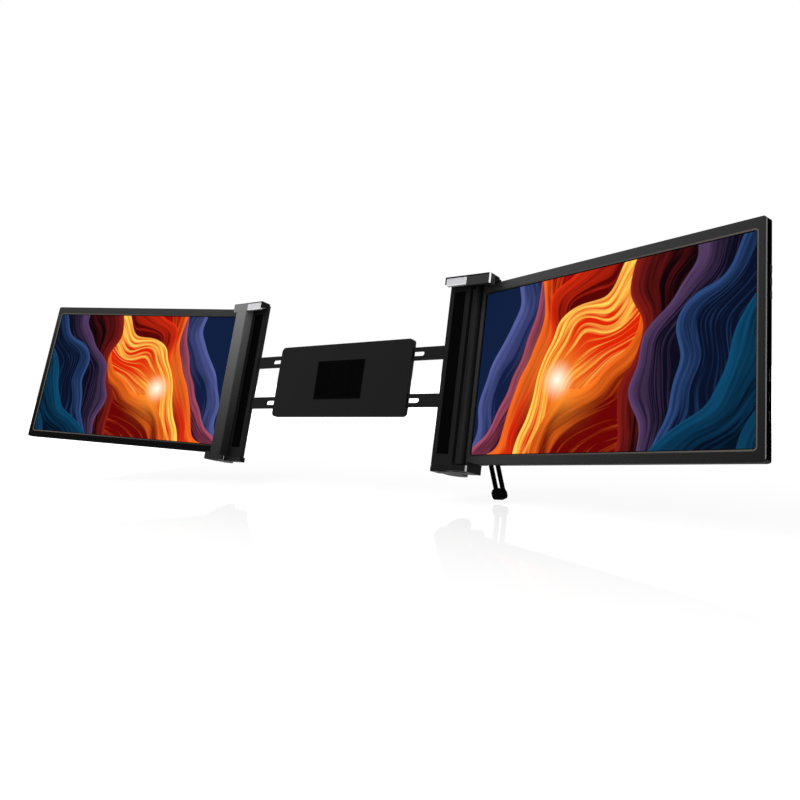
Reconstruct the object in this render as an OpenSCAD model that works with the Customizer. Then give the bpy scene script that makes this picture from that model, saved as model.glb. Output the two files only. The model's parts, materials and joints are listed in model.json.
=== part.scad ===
// Laptop screen extender: two side screens on a sliding frame that hangs on a laptop's lid.
// Frame: +X to the viewer's right, +Y to the back, +Z up along the lid.
// Origin: centre of the face that the back of the lid rests on.

/* [Laptop lid] */
// Width of the lid that the clamps hold at rest
lid_w = 334; // [310:1:350]
// Thickness of the lid between the hooks and the seat
lid_t = 6; // [5:0.5:8]
// Height of the lid's top edge above the middle of the seat
lid_top = 95; // [90:0.5:100]

/* [Screens] */
// Width of the picture
picture_w = 293.8; // [270:0.2:310]
// Height of the picture
picture_h = 165.2; // [150:0.2:175]
// Rim beside the picture at the hinge
rim_inner = 7; // [5:0.5:10]
// Rim beside the picture at the free end
rim_outer = 8.5; // [6:0.5:12]
// Rim above the picture
rim_top = 11.2; // [8:0.1:14]
// Rim below the picture
rim_bottom = 10; // [8:0.5:16]
// Depth of a screen in front of its hinge axis
screen_front = 4; // [3.6:0.1:5]
// Depth of a screen behind its hinge axis
screen_back = 5; // [5:0.1:7]
// Radius of a screen's corners
screen_corner = 4; // [3:0.5:8]
// Radius along the back edges of a screen
back_edge = 2.4; // [1:0.1:3]
// Radius along the front edges of the bezel
front_edge = 0.8; // [0.4:0.1:1.2]
// Thickness of the rear cover's wall
cover_wall = 1.5; // [1.2:0.1:2]
// Thickness of the bezel over the panel's edge
bezel_lip = 0.9; // [0.7:0.1:1.2]
// Depth of the bezel in front of the cover's rim
bezel_t = 1.4; // [1.3:0.1:1.8]
// Black border of the panel that shows inside the bezel
panel_border = 0.8; // [0.4:0.1:1.5]
// Edge of the panel that the bezel covers
panel_hidden = 1.8; // [1:0.1:2.4]
// Thickness of the display panel
panel_t = 2.1; // [1.6:0.1:2.1]
// Thickness of the tray's sheet metal
tray_t = 0.8; // [0.5:0.1:0.8]

/* [Hinges] */
// Forward angle of the left screen at rest
left_angle = 17; // [0:1:28]
// Forward angle of the right screen at rest
right_angle = 14; // [0:1:28]
// Radius of the left hinge barrel
left_barrel_r = 7; // [6:0.5:7.5]
// Radius of the right hinge barrel
right_barrel_r = 9; // [7:0.5:10]
// Gap from the left barrel to its screen
left_web = 6; // [5:0.5:9]
// Gap from the right barrel to its screen
right_web = 6; // [5:0.5:9]
// Radius of the hinge pins
hinge_pin_r = 3; // [2:0.5:4]
// Distance of the left hinge axis outside the lid's edge
left_axis_out = 13; // [12:0.5:16]
// Distance of the right hinge axis inside the lid's edge
right_axis_in = 11; // [9:0.5:13]
// Thickness of the web between barrel and screen
web_t = 5; // [4:0.5:6]
// Thickness of the tongue inside the screen
tongue_t = 1.8; // [1.2:0.1:2]
// Length of the tongue inside the screen
tongue_l = 14; // [10:1:20]

/* [Clamps] */
// Width of the left caps beside the lid
left_cap_w = 25.5; // [22:0.5:30]
// Width of the right top cap beside the lid
right_cap_w = 28.5; // [26:0.5:30]
// Height of a top cap's front
cap_h = 11.1; // [9:0.1:12]
// Thickness of a top cap's roof
roof_t = 1.6; // [1.5:0.1:3]
// Thickness of a bottom cap
foot_cap_t = 5.5; // [5:0.1:8]
// Width of the hook over the lid
hook_w = 25; // [20:0.5:30]
// Depth of the hook in front of the lid
hook_depth = 4; // [3:0.5:5]
// Overlap of the hook's pad on the front of the lid
pad_bite = 3; // [2:0.1:4]
// Thickness of the hook's pad over the lid's edge
hook_pad_t = 5.3; // [3:0.1:7]
// Width of the bright chamfer on the front corner of the right caps
chamfer_w = 1.8; // [1:0.1:2.4]
// Radius of the left bottom cap's outer corners
cap_corner = 2.5; // [1:0.5:3]
// Width of the left post
post_w = 19.5; // [16:0.5:21]
// Depth of the left post behind the lid's seat
post_back = 4; // [2:0.5:4.5]
// Distance from the seat's middle down to the bottom caps
seat_to_foot = 91; // [88:1:95]
// Room under the screens
room_below = 4.4; // [2:0.1:6]
// Room over the screens
room_above = 0.5; // [0.4:0.1:2]

/* [Sliding frame] */
// Width of the housing
housing_w = 200; // [180:1:220]
// Height of the housing
housing_h = 84; // [76:1:120]
// Thickness of the frame behind the seat pads
frame_t = 5.8; // [5.8:0.1:7]
// Proud height of the seat pads
seat_pad_t = 0.6; // [0.4:0.1:1]
// Height of each sliding rail
rail_h = 14; // [10:0.5:18]
// Thickness of each sliding rail
rail_t = 2.5; // [2:0.1:2.5]
// Distance of the rails from the middle
rail_z = 25; // [20:0.5:28]
// Inward travel of each clamp
travel_in = 17; // [10:1:18]
// Outward travel of each clamp
travel_out = 15; // [8:1:16]
// Width of each clamp's upright
upright_w = 25; // [20:0.5:28]

/* [Leg] */
// Angle of the leg from the screen at rest
leg_angle = 24; // [0:1:60]
// Length of the leg from its pin to the end of the foot
leg_l = 40; // [32:1:60]
// Radius of the leg's rods
leg_rod_r = 2.3; // [1.8:0.1:2.3]
// Distance between the rods' centres
leg_spread = 9.2; // [7:0.2:12]
// Height of the leg's pin above the screen's lower edge
leg_pin_h = 8; // [7:0.5:12]
// Distance of the leg from the hinge axis
leg_x = 46; // [43:0.5:70]
// Radius of the leg's pin
leg_pin_r = 1; // [0.8:0.1:1.2]
// Width of the rubber foot
foot_w = 15; // [14.4:0.2:20]
// Depth of the rubber foot
foot_d = 7; // [6:0.2:7]
// Height of the rubber foot
foot_h = 10; // [9:0.5:14]

/* [Fits] */
// Clearance between pieces that slide or swing past each other
gap = 0.3; // [0.3:0.05:0.4]
// Radial clearance of a pin in its bore
pin_fit = 0.05; // [0.02:0.01:0.1]
// Room that the folded screens keep to the frame, the barrel and the leg
fold_gap = 0.6; // [0.5:0.1:2]

/* [Hidden] */
$fn = 48;
eps = 0.01;

// Colours
casing = "#343436";
cap_grey = "#3c3d3f";
post_grey = "#5d5e60";
dark = "#1d1d1f";
steel = "#b9bcc0";
silicone = "#e9e9ec";
board_green = "#1f4d36";
glass = "#15171f";

// Planes of the clamps and the frame
lid_edge = lid_w / 2;
seat_y = seat_pad_t;
frame_y = seat_y + frame_t;
front_y = -lid_t - hook_depth;
foot_top = -seat_to_foot;
screen_bottom = foot_top + room_below;
screen_h = picture_h + rim_top + rim_bottom;
screen_top = screen_bottom + screen_h;
roof_under = max(screen_top + room_above, lid_top + hook_pad_t);
roof_top = roof_under + roof_t;
cap_bottom = roof_top - cap_h;
left_cap_edge = lid_edge + left_cap_w;
right_cap_edge = lid_edge + right_cap_w;
screen_w = rim_inner + picture_w + rim_outer;

// Hinge axes: the right screen folds over the left one and takes its leg along
leg_proud = 0.15;
leg_y = screen_back + leg_proud - leg_rod_r;
stowed_foot_y = leg_y + foot_d - leg_rod_r;
left_axis = [-lid_edge - left_axis_out, frame_y + fold_gap + screen_back];
right_axis = [lid_edge - right_axis_in,
              left_axis[1] + screen_front + fold_gap + max(right_barrel_r, stowed_foot_y)];
left_edge_x = left_barrel_r + left_web;
right_edge_x = right_barrel_r + right_web;
pin_top = roof_under + roof_t / 2;
pin_bottom = foot_top - foot_cap_t + 1;
boss_h = 2;
lobe_wall = 2;
washer_t = 1;
barrel_bottom = foot_top + washer_t + gap;
barrel_top = roof_under - boss_h - washer_t - gap;

// Layers of a screen, as distances behind the hinge axis
bezel_y = -screen_front;
cover_y = bezel_y + bezel_t;
panel_y = bezel_y + bezel_lip;
tray_y = panel_y + panel_t;
tray_back = tray_y + tray_t;
cover_floor = screen_back - cover_wall;
tongue_y = cover_floor - tongue_t - 0.4;

// Places of the ports above the lower edge of a screen, and of the buttons below its upper edge
port_z = [63.5, 47.5, 34];
port_l = [11.2, 9, 9];
port_t = 3.2;
port_depth = 7.3;
port_y = (tray_back + cover_floor) / 2;
button_down = [42, 52, 62.5];
button_z = [for (d = button_down) screen_h - d];
button_l = 7;
button_t = 2.2;
button_proud = 0.5;
button_travel = 0.8;
button_body = 3;
flange_t = 0.9;
flange_l = 1;
switch_h = 4;

// Recess for the stowed leg
recess_y = leg_y - leg_rod_r - gap / 2;
hub_l = leg_spread + 2 * leg_rod_r;
cheek_t = 2;
cheek_h = 8;
leg_pin_z = screen_bottom + leg_pin_h;
recess_w = foot_w + 2 * gap + 0.6;
pivot_w = hub_l + 2 * (gap + cheek_t);

// ---- shared shapes ----

// Rectangle with four round corners, from the origin
module round_rect(w, h, r) {
    translate([r, 0]) square([w - 2 * r, h]);
    translate([0, r]) square([w, h - 2 * r]);
    for (x = [r, w - r], y = [r, h - r])
        translate([x, y]) circle(r);
}

// Rectangle whose near corners have radius r0 and whose far corners have radius r1
module round_ends(w, d, r0, r1) {
    translate([r0, 0]) square([w - 2 * r0, d - r1]);
    translate([r1, r0]) square([w - 2 * r1, d - r0]);
    translate([0, r0]) square([w, d - r0 - r1]);
    for (x = [0, 1]) {
        if (r0 > 0) translate([x ? w - r0 : r0, r0]) circle(r0);
        if (r1 > 0) translate([x ? w - r1 : r1, d - r1]) circle(r1);
    }
}

// Upright slab with round corners and with round edges at the front and back
module soft_slab(x0, z0, w, h, y0, d, corner, r0, r1) {
    intersection() {
        translate([x0, y0 + d, z0]) rotate([90, 0, 0])
            linear_extrude(d) round_rect(w, h, corner);
        translate([x0, y0, z0])
            linear_extrude(h) round_ends(w, d, r0, r1);
        translate([x0, y0, z0]) rotate([90, 0, 90])
            linear_extrude(w) mirror([1, -1, 0]) round_ends(h, d, r0, r1);
    }
}

// Box between two corners
module block(a, b) {
    translate(a) cube(b - a);
}

// Cylinder along Y from y0 to y1
module drill(x, z, y0, y1, r) {
    translate([x, y0, z]) rotate([-90, 0, 0]) cylinder(h = y1 - y0, r = r);
}

// Cylinder along X from x0 to x1
module axle(y, z, x0, x1, r) {
    translate([x0, y, z]) rotate([0, 90, 0]) cylinder(h = x1 - x0, r = r);
}

// Slot with round ends through a side wall, centred on y and z
module side_slot(x0, x1, y, z, length, width) {
    for (end = [-1, 1])
        axle(y, z + end * (length - width) / 2, x0, x1, width / 2);
    block([x0, y - width / 2, z - (length - width) / 2], [x1, y + width / 2, z + (length - width) / 2]);
}

// Pan-head screw along Y with its head at y1
module screw(x, z, y0, y1, r, head_r, head_t) {
    difference() {
        union() {
            drill(x, z, y0, y1 - head_t + eps, r);
            drill(x, z, y1 - head_t, y1, head_r);
        }
        for (turn = [0, 90])
            translate([x, y1, z]) rotate([0, turn, 0]) cube([1.3 * head_r, 1.0, 0.5], center = true);
    }
}

// Places children of a screen, which are drawn with their hinge axis on Z and the screen towards +X
module place_left() {
    translate([left_axis[0], left_axis[1], 0]) rotate([0, 0, left_angle]) mirror([1, 0, 0]) children();
}
module place_right() {
    translate([right_axis[0], right_axis[1], 0]) rotate([0, 0, -right_angle]) children();
}

// ---- sliding frame behind the lid ----

cover_front = seat_y;
cover_t = 1.2;
channel_front = cover_front + cover_t;
rail_y0 = channel_front + gap;
rail_y1 = rail_y0 + rail_t;
channel_back = rail_y1 + gap;
housing_x = housing_w / 2;
housing_z = housing_h / 2;
housing_corner = 6;
rail_rest = 3;
rail_inner = travel_in + rail_rest;
tab_w = 8;
tab_h = 2;
neck_x = rail_inner + tab_w + travel_out + 1;
brake_l = 10;
brake_t = 1.6;
brake_x = housing_x - 14;
hollow_pitch = 21;
hollow_w = 18;
hollow_h = 2 * rail_z - rail_h - 2 * (tab_h + gap) - 6;
groove_pitch = 6;
groove_w = 1.6;
groove_d = 0.5;
frame_screw = [for (x = [-1, 1], z = [-1, 1]) [x * (housing_x - 9), z * (housing_z - 5)],
               for (z = [-1, 1]) [0, z * (housing_z - 5)]];
frame_screw_r = 1.1;
frame_head_r = 2;
frame_head_t = 1.1;
seat_pad_w = 70;
seat_pad_h = 44;
pad_sunk = 0.4;
pad_rib_w = 1.5;
pad_rib_d = 0.3;
pad_rib_pitch = 4.5;
pad_plain = 32;

// Channel of one pair of rails, wide inside and narrow at the ends
module rail_channel(z) {
    block([-housing_x - eps, channel_front - eps, z - rail_h / 2 - gap],
          [housing_x + eps, channel_back, z + rail_h / 2 + gap]);
    block([-neck_x, channel_front - eps, z - rail_h / 2 - tab_h - gap],
          [neck_x, channel_back, z + rail_h / 2 + tab_h + gap]);
    // seats of the brake shoes above and below the rails
    for (side = [-1, 1])
        block([side * brake_x - brake_l / 2, channel_front - eps, z - rail_h / 2 - gap - brake_t],
              [side * brake_x + brake_l / 2, channel_back, z + rail_h / 2 + gap + brake_t]);
}

module frame_housing() {
    color(casing)
    difference() {
        soft_slab(-housing_x, -housing_z, housing_w, housing_h,
                  channel_front, frame_y - channel_front, housing_corner, 0, 1.2);
        for (z = [-rail_z, rail_z]) rail_channel(z);
        // hollows that lighten the middle, with ribs between them
        for (i = [-4:4])
            translate([i * hollow_pitch - hollow_w / 2, channel_front - eps, -hollow_h / 2])
                cube([hollow_w, channel_back - channel_front + eps, hollow_h]);
        for (p = frame_screw) {
            drill(p[0], p[1], channel_front - eps, frame_y + eps, frame_screw_r + pin_fit);
            drill(p[0], p[1], frame_y - frame_head_t - 0.1, frame_y + eps, frame_head_r + gap);
        }
        // grip grooves across the back
        for (i = [-3:3])
            translate([i * groove_pitch - groove_w / 2, frame_y - groove_d, -hollow_h / 2 + 2])
                cube([groove_w, groove_d + eps, hollow_h - 4]);
    }
}

module frame_cover() {
    color(casing)
    difference() {
        soft_slab(-housing_x, -housing_z, housing_w, housing_h, cover_front, cover_t, housing_corner, 0.5, 0);
        translate([-seat_pad_w / 2, cover_front - eps, -seat_pad_h / 2])
            cube([seat_pad_w, pad_sunk + eps, seat_pad_h]);
    }
}

module lid_seat_pad() {
    color(dark)
    difference() {
        translate([-seat_pad_w / 2, 0, -seat_pad_h / 2])
            cube([seat_pad_w, cover_front + pad_sunk, seat_pad_h]);
        // shallow grip ribs on both sides of the plain middle
        for (side = [-1, 1], i = [0:3])
            translate([side * (pad_plain / 2 + pad_rib_pitch * i) - pad_rib_w / 2, -eps, -seat_pad_h / 2 + 3])
                cube([pad_rib_w, pad_rib_d, seat_pad_h - 6]);
    }
}

module frame_screws() {
    color(steel)
    for (p = frame_screw)
        screw(p[0], p[1], channel_front, frame_y - 0.1, frame_screw_r, frame_head_r, frame_head_t);
}

module arm_brakes() {
    color(dark)
    for (rail = [-rail_z, rail_z], side = [-1, 1], end = [-1, 1])
        translate([side * brake_x, 0, rail + end * (rail_h / 2 + gap + brake_t / 2)])
            difference() {
                block([-brake_l / 2, channel_front, -brake_t / 2], [brake_l / 2, channel_back, brake_t / 2]);
                translate([0, channel_front - eps, end * brake_t / 2])
                    rotate([-90, 0, 0]) cylinder(h = channel_back, r = brake_t / 2);
            }
}

// ---- clamps ----

upright_in = lid_edge - 1;
upright_out = upright_in - upright_w;
arm_h = roof_under - foot_top;
strip_w = 13;
strip_end = 12;
back_groove_h = 10;
back_groove_pitch = 15;
back_groove_d = 1.6;
back_groove_end = 14;
rail_slot_w = 5;
clamp_screw_r = 1.25;
clamp_screw_l = 6;
clamp_head_r = 2.2;
clamp_head_t = 0.9;
clamp_screw_x = lid_edge - upright_w / 2 - 1;
clamp_screw_dx = 7;
clamp_screw_y = frame_y - frame_t / 2;

// Upright with two rails, for the clamp on the +X side; the left one is its mirror image
module arm() {
    difference() {
        union() {
            soft_slab(upright_out, foot_top, upright_w, arm_h, frame_y - frame_t, frame_t, 1.5, 0.5, 1);
            for (z = [-rail_z, rail_z]) {
                translate([rail_inner, rail_y0, z - rail_h / 2])
                    cube([upright_out + 4 - rail_inner, rail_t, rail_h]);
                translate([rail_inner, rail_y0, z - rail_h / 2 - tab_h])
                    cube([tab_w, rail_t, rail_h + 2 * tab_h]);
            }
        }
        // long slots that lighten the rails
        for (z = [-rail_z, rail_z])
            rail_slot(rail_inner + tab_w + 4, upright_out - upright_w - 1, z, rail_slot_w);
        // recess for the strip of rubber
        translate([clamp_screw_x - strip_w / 2, frame_y - frame_t - eps, foot_top + strip_end])
            cube([strip_w, pad_sunk + eps, arm_h - 2 * strip_end]);
        // ribbed back
        for (z = [back_groove_end : back_groove_pitch : arm_h - back_groove_end - back_groove_h])
            translate([upright_out + 5, frame_y - back_groove_d, foot_top + z])
                cube([upright_w - 10, back_groove_d + eps, back_groove_h]);
        // screw holes at both ends
        for (dx = [-clamp_screw_dx, clamp_screw_dx], z = [roof_under - 8, foot_top - 1])
            translate([clamp_screw_x + dx, clamp_screw_y, z]) cylinder(h = 9, r = clamp_screw_r + pin_fit);
    }
}

// Slot with round ends through a rail
module rail_slot(x0, x1, z, width) {
    for (x = [x0 + width / 2, x1 - width / 2])
        drill(x, z, rail_y0 - 1, rail_y1 + 1, width / 2);
    block([x0 + width / 2, rail_y0 - 1, z - width / 2], [x1 - width / 2, rail_y1 + 1, z + width / 2]);
}

module left_arm() { color(casing) mirror([1, 0, 0]) arm(); }
module right_arm() { color(casing) arm(); }

module seat_strip() {
    translate([clamp_screw_x - strip_w / 2, 0, foot_top + strip_end])
        cube([strip_w, frame_y - frame_t + pad_sunk, arm_h - 2 * strip_end]);
}
module left_seat_strip() { color(dark) mirror([1, 0, 0]) seat_strip(); }
module right_seat_strip() { color(dark) seat_strip(); }

// Screw along Z whose head stands up from z, with a cross slot
module clamp_screw(x, z, up) {
    translate([x, clamp_screw_y, z]) mirror([0, 0, up ? 0 : 1])
        difference() {
            union() {
                translate([0, 0, -clamp_screw_l]) cylinder(h = clamp_screw_l, r = clamp_screw_r);
                cylinder(h = clamp_head_t, r = clamp_head_r);
            }
            for (turn = [0, 90])
                translate([0, 0, clamp_head_t]) rotate([0, 0, turn])
                    cube([1.2 * clamp_head_r, 0.5, 1], center = true);
        }
}

// Planes in the caps on which the screw heads sit
roof_seat = roof_top - clamp_head_t - 0.1;
foot_seat = foot_top - foot_cap_t + clamp_head_t + 0.1;

module clamp_screws() {
    for (dx = [-clamp_screw_dx, clamp_screw_dx]) {
        clamp_screw(clamp_screw_x + dx, roof_seat, true);
        clamp_screw(clamp_screw_x + dx, foot_seat, false);
    }
}
module left_clamp_screws() { color(steel) mirror([1, 0, 0]) clamp_screws(); }
module right_clamp_screws() { color(steel) clamp_screws(); }

module clamp_screw_holes() {
    head_r = clamp_head_r + 0.2;
    for (dx = [-clamp_screw_dx, clamp_screw_dx])
        translate([clamp_screw_x + dx, clamp_screw_y, 0]) {
            translate([0, 0, cap_bottom]) cylinder(h = cap_h + 1, r = clamp_screw_r + pin_fit);
            translate([0, 0, roof_seat]) cylinder(h = clamp_head_t + 1, r = head_r);
            translate([0, 0, foot_top - foot_cap_t - 1])
                cylinder(h = foot_cap_t + 2, r = clamp_screw_r + pin_fit);
            translate([0, 0, foot_seat - clamp_head_t - 1]) cylinder(h = clamp_head_t + 1, r = head_r);
        }
}

skirt_t = 3.4;
side_wall_t = 2;
side_wall_d = 9;
hook_wall = 1.5;
hook_in = lid_edge - hook_w;
lip_side = 0.3;
pad_y0 = front_y + gap;
pad_inner_y = -lid_t - gap;
pad_bottom = lid_top - pad_bite;
pad_back = -0.2;
hook_room = 0.5;
pin_grip = 0.02;

// Plan of a roof on the +X side, out to edge: hook, cap and the lobe round the hinge axis
module roof_plan(axis_x, axis_y, lobe_r, edge) {
    difference() {
        union() {
            translate([hook_in - hook_wall, front_y])
                square([edge - hook_in + hook_wall, frame_y - front_y + 1]);
            translate([axis_x - lobe_r, 0]) square([2 * lobe_r, axis_y]);
            translate([axis_x, axis_y]) circle(lobe_r);
        }
        // round corner at the hook's inner end
        translate([hook_in - hook_wall, frame_y + 1]) rotate(45) square(6, center = true);
    }
}

// Removes the front corner at x so that a flat face of the given width is left
module corner_chamfer(x, z0, z1) {
    translate([x, front_y, z0 - 1]) rotate(45)
        translate([-chamfer_w, -chamfer_w / 2, 0]) cube([2 * chamfer_w, chamfer_w, z1 - z0 + 2]);
}

// Top cap on the +X side
module top_cap(axis_x, axis_y, lobe_r, edge, side_d) {
    difference() {
        union() {
            translate([0, 0, roof_under]) linear_extrude(roof_t) roof_plan(axis_x, axis_y, lobe_r, edge);
            // front skirt beside the lid, and the wall at its free end
            block([lid_edge, front_y, cap_bottom], [edge, front_y + skirt_t, roof_top]);
            block([edge - side_wall_t, front_y, cap_bottom], [edge, front_y + side_d, roof_top]);
            // wall at the hook's inner end, lower in front of the lid than over it
            block([hook_in - hook_wall, front_y, lid_top - 1], [hook_in, -lid_t, roof_top]);
            block([hook_in - hook_wall, front_y, lid_top + hook_room], [hook_in, pad_back, roof_top]);
            // boss round the hinge pin
            translate([axis_x, axis_y, roof_under - boss_h]) cylinder(h = boss_h + eps, r = lobe_r - 2);
        }
        translate([axis_x, axis_y, roof_under - boss_h - 1])
            cylinder(h = pin_top - roof_under + boss_h + 1, r = hinge_pin_r + pin_grip);
        clamp_screw_holes();
    }
}

module left_top_cap() {
    side = lid_edge + post_w;
    color(cap_grey)
    mirror([1, 0, 0])
    difference() {
        union() {
            top_cap(-left_axis[0], left_axis[1], left_barrel_r + lobe_wall, left_cap_edge, skirt_t);
            // block on the head of the post
            block([lid_edge + post_in, front_y, cap_bottom], [side, post_back, roof_under + eps]);
        }
        // slope under the part that stands out past the post
        translate([left_cap_edge, front_y - 1, cap_bottom]) rotate([-90, 0, 0])
            linear_extrude(skirt_t + 2) polygon([[1, 1], [-2.6, 1], [1, -2.6]]);
    }
}

module right_top_cap() {
    color(cap_grey)
    difference() {
        top_cap(right_axis[0], right_axis[1], right_barrel_r + lobe_wall, right_cap_edge, side_wall_d);
        corner_chamfer(right_cap_edge, cap_bottom, roof_top);
    }
}

// Bottom cap on the +X side, with a lobe round the hinge axis
module bottom_cap(axis_x, axis_y, lobe_r, edge, side_back) {
    difference() {
        translate([0, 0, foot_top - foot_cap_t]) linear_extrude(foot_cap_t) {
            translate([lid_edge + lip_side, front_y])
                square([edge - lid_edge - lip_side, side_back - front_y]);
            translate([upright_out, frame_y - frame_t])
                square([edge - upright_out, side_back - frame_y + frame_t]);
            translate([axis_x, axis_y]) circle(lobe_r);
            translate([axis_x - lobe_r, 2]) square([2 * lobe_r, axis_y - 2]);
        }
        translate([axis_x, axis_y, pin_bottom]) cylinder(h = foot_cap_t, r = hinge_pin_r + pin_grip);
        clamp_screw_holes();
        // hollow underside
        translate([lid_edge + 3, front_y + 3, foot_top - foot_cap_t - eps])
            cube([edge - lid_edge - 6, lid_t, 2]);
    }
}

lip_w = 4.5;
lip_t = 2.6;
left_cap_back = 8;
right_cap_back = 16;
right_cap_in = 5;
left_cap_out = 3;

module left_bottom_cap() {
    edge = left_cap_edge + left_cap_out;
    color(cap_grey)
    mirror([1, 0, 0])
    difference() {
        union() {
            bottom_cap(-left_axis[0], left_axis[1], left_barrel_r + lobe_wall, edge, left_cap_back);
            // lip in front of the lid's lower corner
            block([lid_edge - lip_w, front_y, foot_top - foot_cap_t],
                  [lid_edge + lip_side + 1, front_y + lip_t, foot_top]);
        }
        // round lower edge at the free end
        translate([edge - cap_corner, front_y - 1, foot_top - foot_cap_t + cap_corner])
            rotate([-90, 0, 0]) linear_extrude(left_cap_back - front_y + 2)
                difference() {
                    square(cap_corner + 1);
                    circle(cap_corner);
                }
    }
}

module right_bottom_cap() {
    edge = right_cap_edge - right_cap_in;
    color(cap_grey)
    difference() {
        bottom_cap(right_axis[0], right_axis[1], right_barrel_r + lobe_wall, edge, right_cap_back);
        corner_chamfer(edge, foot_top - foot_cap_t, foot_top);
    }
}

post_in = 0.5;
post_wall = 2;
post_corner = 1.2;

module left_post() {
    color(post_grey)
    mirror([1, 0, 0])
    difference() {
        translate([lid_edge + post_in, front_y, foot_top])
            linear_extrude(cap_bottom - foot_top)
                round_ends(post_w - post_in, post_back - front_y, post_corner, post_corner);
        // hollow core of the extruded post
        translate([lid_edge + post_in + post_wall, front_y + post_wall, foot_top - 1])
            linear_extrude(cap_bottom - foot_top + 2)
                round_ends(post_w - post_in - 2 * post_wall, post_back - front_y - 2 * post_wall, 0.8, 0.8);
    }
}

// Pad inside a hook: a block over the lid's edge with a lip in front of it
module hook_pad() {
    outer = lid_edge - 0.2;
    block([hook_in, pad_y0, pad_bottom], [outer, pad_inner_y, roof_under]);
    block([hook_in, pad_inner_y - eps, lid_top + gap], [outer, pad_back, roof_under]);
}
module left_hook_pad() { color(silicone) mirror([1, 0, 0]) hook_pad(); }
module right_hook_pad() { color(silicone) hook_pad(); }

module left_foot_pad() {
    color(silicone)
    mirror([1, 0, 0])
        block([lid_edge - lip_w + 0.4, front_y + lip_t, foot_top - foot_cap_t + 0.4],
              [lid_edge - 0.4, pad_inner_y, foot_top - 0.4]);
}
module right_foot_pad() {
    color(silicone)
    block([lid_edge - 0.5, 1 - lid_t, foot_top - foot_cap_t + 0.6],
          [lid_edge + lip_side, -0.6, foot_top - 0.6]);
}

module hinge_pin(axis) {
    translate([axis[0], axis[1], pin_bottom])
        cylinder(h = pin_top - pin_bottom - 0.2, r = hinge_pin_r);
}
module left_hinge_pin() { color(steel) hinge_pin(left_axis); }
module right_hinge_pin() { color(steel) hinge_pin(right_axis); }

module hinge_washers(axis, r) {
    for (z = [foot_top, roof_under - boss_h - washer_t])
        translate([axis[0], axis[1], z])
            difference() {
                cylinder(h = washer_t, r = r);
                translate([0, 0, -1]) cylinder(h = washer_t + 2, r = hinge_pin_r + pin_fit);
            }
}
module left_hinge_washers() { color(dark) hinge_washers(left_axis, left_barrel_r - 1); }
module right_hinge_washers() { color(dark) hinge_washers(right_axis, right_barrel_r - 1); }

// ---- screens, drawn with the hinge axis on Z and the picture towards -Y ----

screen_screw_r = 1;
screen_head_r = 1.7;
screen_head_t = 0.9;
tongue_end = 17;
tongue_fit = 0.1;
slit_count = 10;
slit_w = 2;
slit_pitch = 5;
slit_h = 14;
slit_z = 16;
slit_side = 90;
rib_count = 4;
rib_t = 1;
rib_h = 1.6;
rib_low = leg_pin_h + leg_l + 12;
rib_side = 40;
recess_wall = 1.5;
recess_top = leg_pin_h + leg_l + 1;
notch_r = 6;
board_margin = 1;
board_w = 34;
board_t = 1.2;
board_y = port_y - board_t / 2;
board_end = 9;
chip_t = 0.6;
chip_w = 12;
small_chip_w = 7;
part_w = 3;
part_pitch = 7;

module rear_cover_shell(edge_x, leg_side) {
    w = screen_w;
    y1 = screen_back;
    xo = edge_x + w;
    difference() {
        soft_slab(edge_x, screen_bottom, w, screen_h, cover_y, y1 - cover_y, screen_corner, 0, back_edge);
        difference() {
            soft_slab(edge_x + cover_wall, screen_bottom + cover_wall,
                      w - 2 * cover_wall, screen_h - 2 * cover_wall,
                      cover_y - 1, cover_floor - cover_y + 1, screen_corner - cover_wall, 0, 0);
            screen_bosses(edge_x);
            cover_ribs(edge_x);
            if (leg_side) recess_walls(edge_x);
        }
        if (leg_side) leg_recess();
        // slot for the hinge tongue
        block([edge_x - 1, tongue_y - tongue_fit, screen_bottom + tongue_end - 1],
              [edge_x + cover_wall + 1, tongue_y + tongue_t + tongue_fit, screen_top - tongue_end + 1]);
        for (p = cover_screw_places(edge_x)) {
            drill(p[0], p[1], tray_back, y1 + 1, screen_screw_r + pin_fit);
            drill(p[0], p[1], y1 - screen_head_t - 0.2, y1 + 1, screen_head_r + 0.2);
        }
        for (z = hinge_screw_z) {
            drill(hinge_screw_x(edge_x), z, cover_floor - 1, y1 + 1, screen_screw_r + pin_fit);
            drill(hinge_screw_x(edge_x), z, y1 - screen_head_t, y1 + 1, screen_head_r + 0.2);
        }
        for (i = [0:2]) {
            side_slot(xo - cover_wall - 1, xo + 1, port_y, screen_bottom + port_z[i],
                      port_l[i] + 2 * gap, port_t + 2 * gap);
            side_slot(xo - cover_wall - 1, xo + 1, port_y, screen_bottom + button_z[i],
                      button_l + 2 * gap, button_t + 2 * gap);
        }
        // sound and cooling slits low on the back
        for (i = [0:slit_count - 1])
            translate([xo - slit_side + i * slit_pitch, cover_floor - 1, screen_bottom + slit_z])
                cube([slit_w, cover_wall + 2, slit_h]);
    }
}

function cover_screw_places(edge_x) = [
    for (x = [edge_x + 8, edge_x + screen_w / 2, edge_x + screen_w - 8])
        for (z = [screen_bottom + 6, screen_top - 5]) [x, z]
];

function hinge_screw_x(edge_x) = edge_x + cover_wall + tongue_l / 2;

hinge_screw_z = [
    for (end = [-1, 1], row = [0, 1]) screen_bottom + screen_h / 2 + end * (screen_h / 2 - 24 - 16 * row)
];

// Bosses that the tray rests on and the screws pass through
module screen_bosses(edge_x) {
    for (p = cover_screw_places(edge_x))
        drill(p[0], p[1], tray_back, cover_floor + eps, 2.6);
    for (z = [-45, 0, 45])
        drill(edge_x + screen_w / 2 - 40, screen_bottom + screen_h / 2 + z, tray_back, cover_floor + eps, 2);
}

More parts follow.
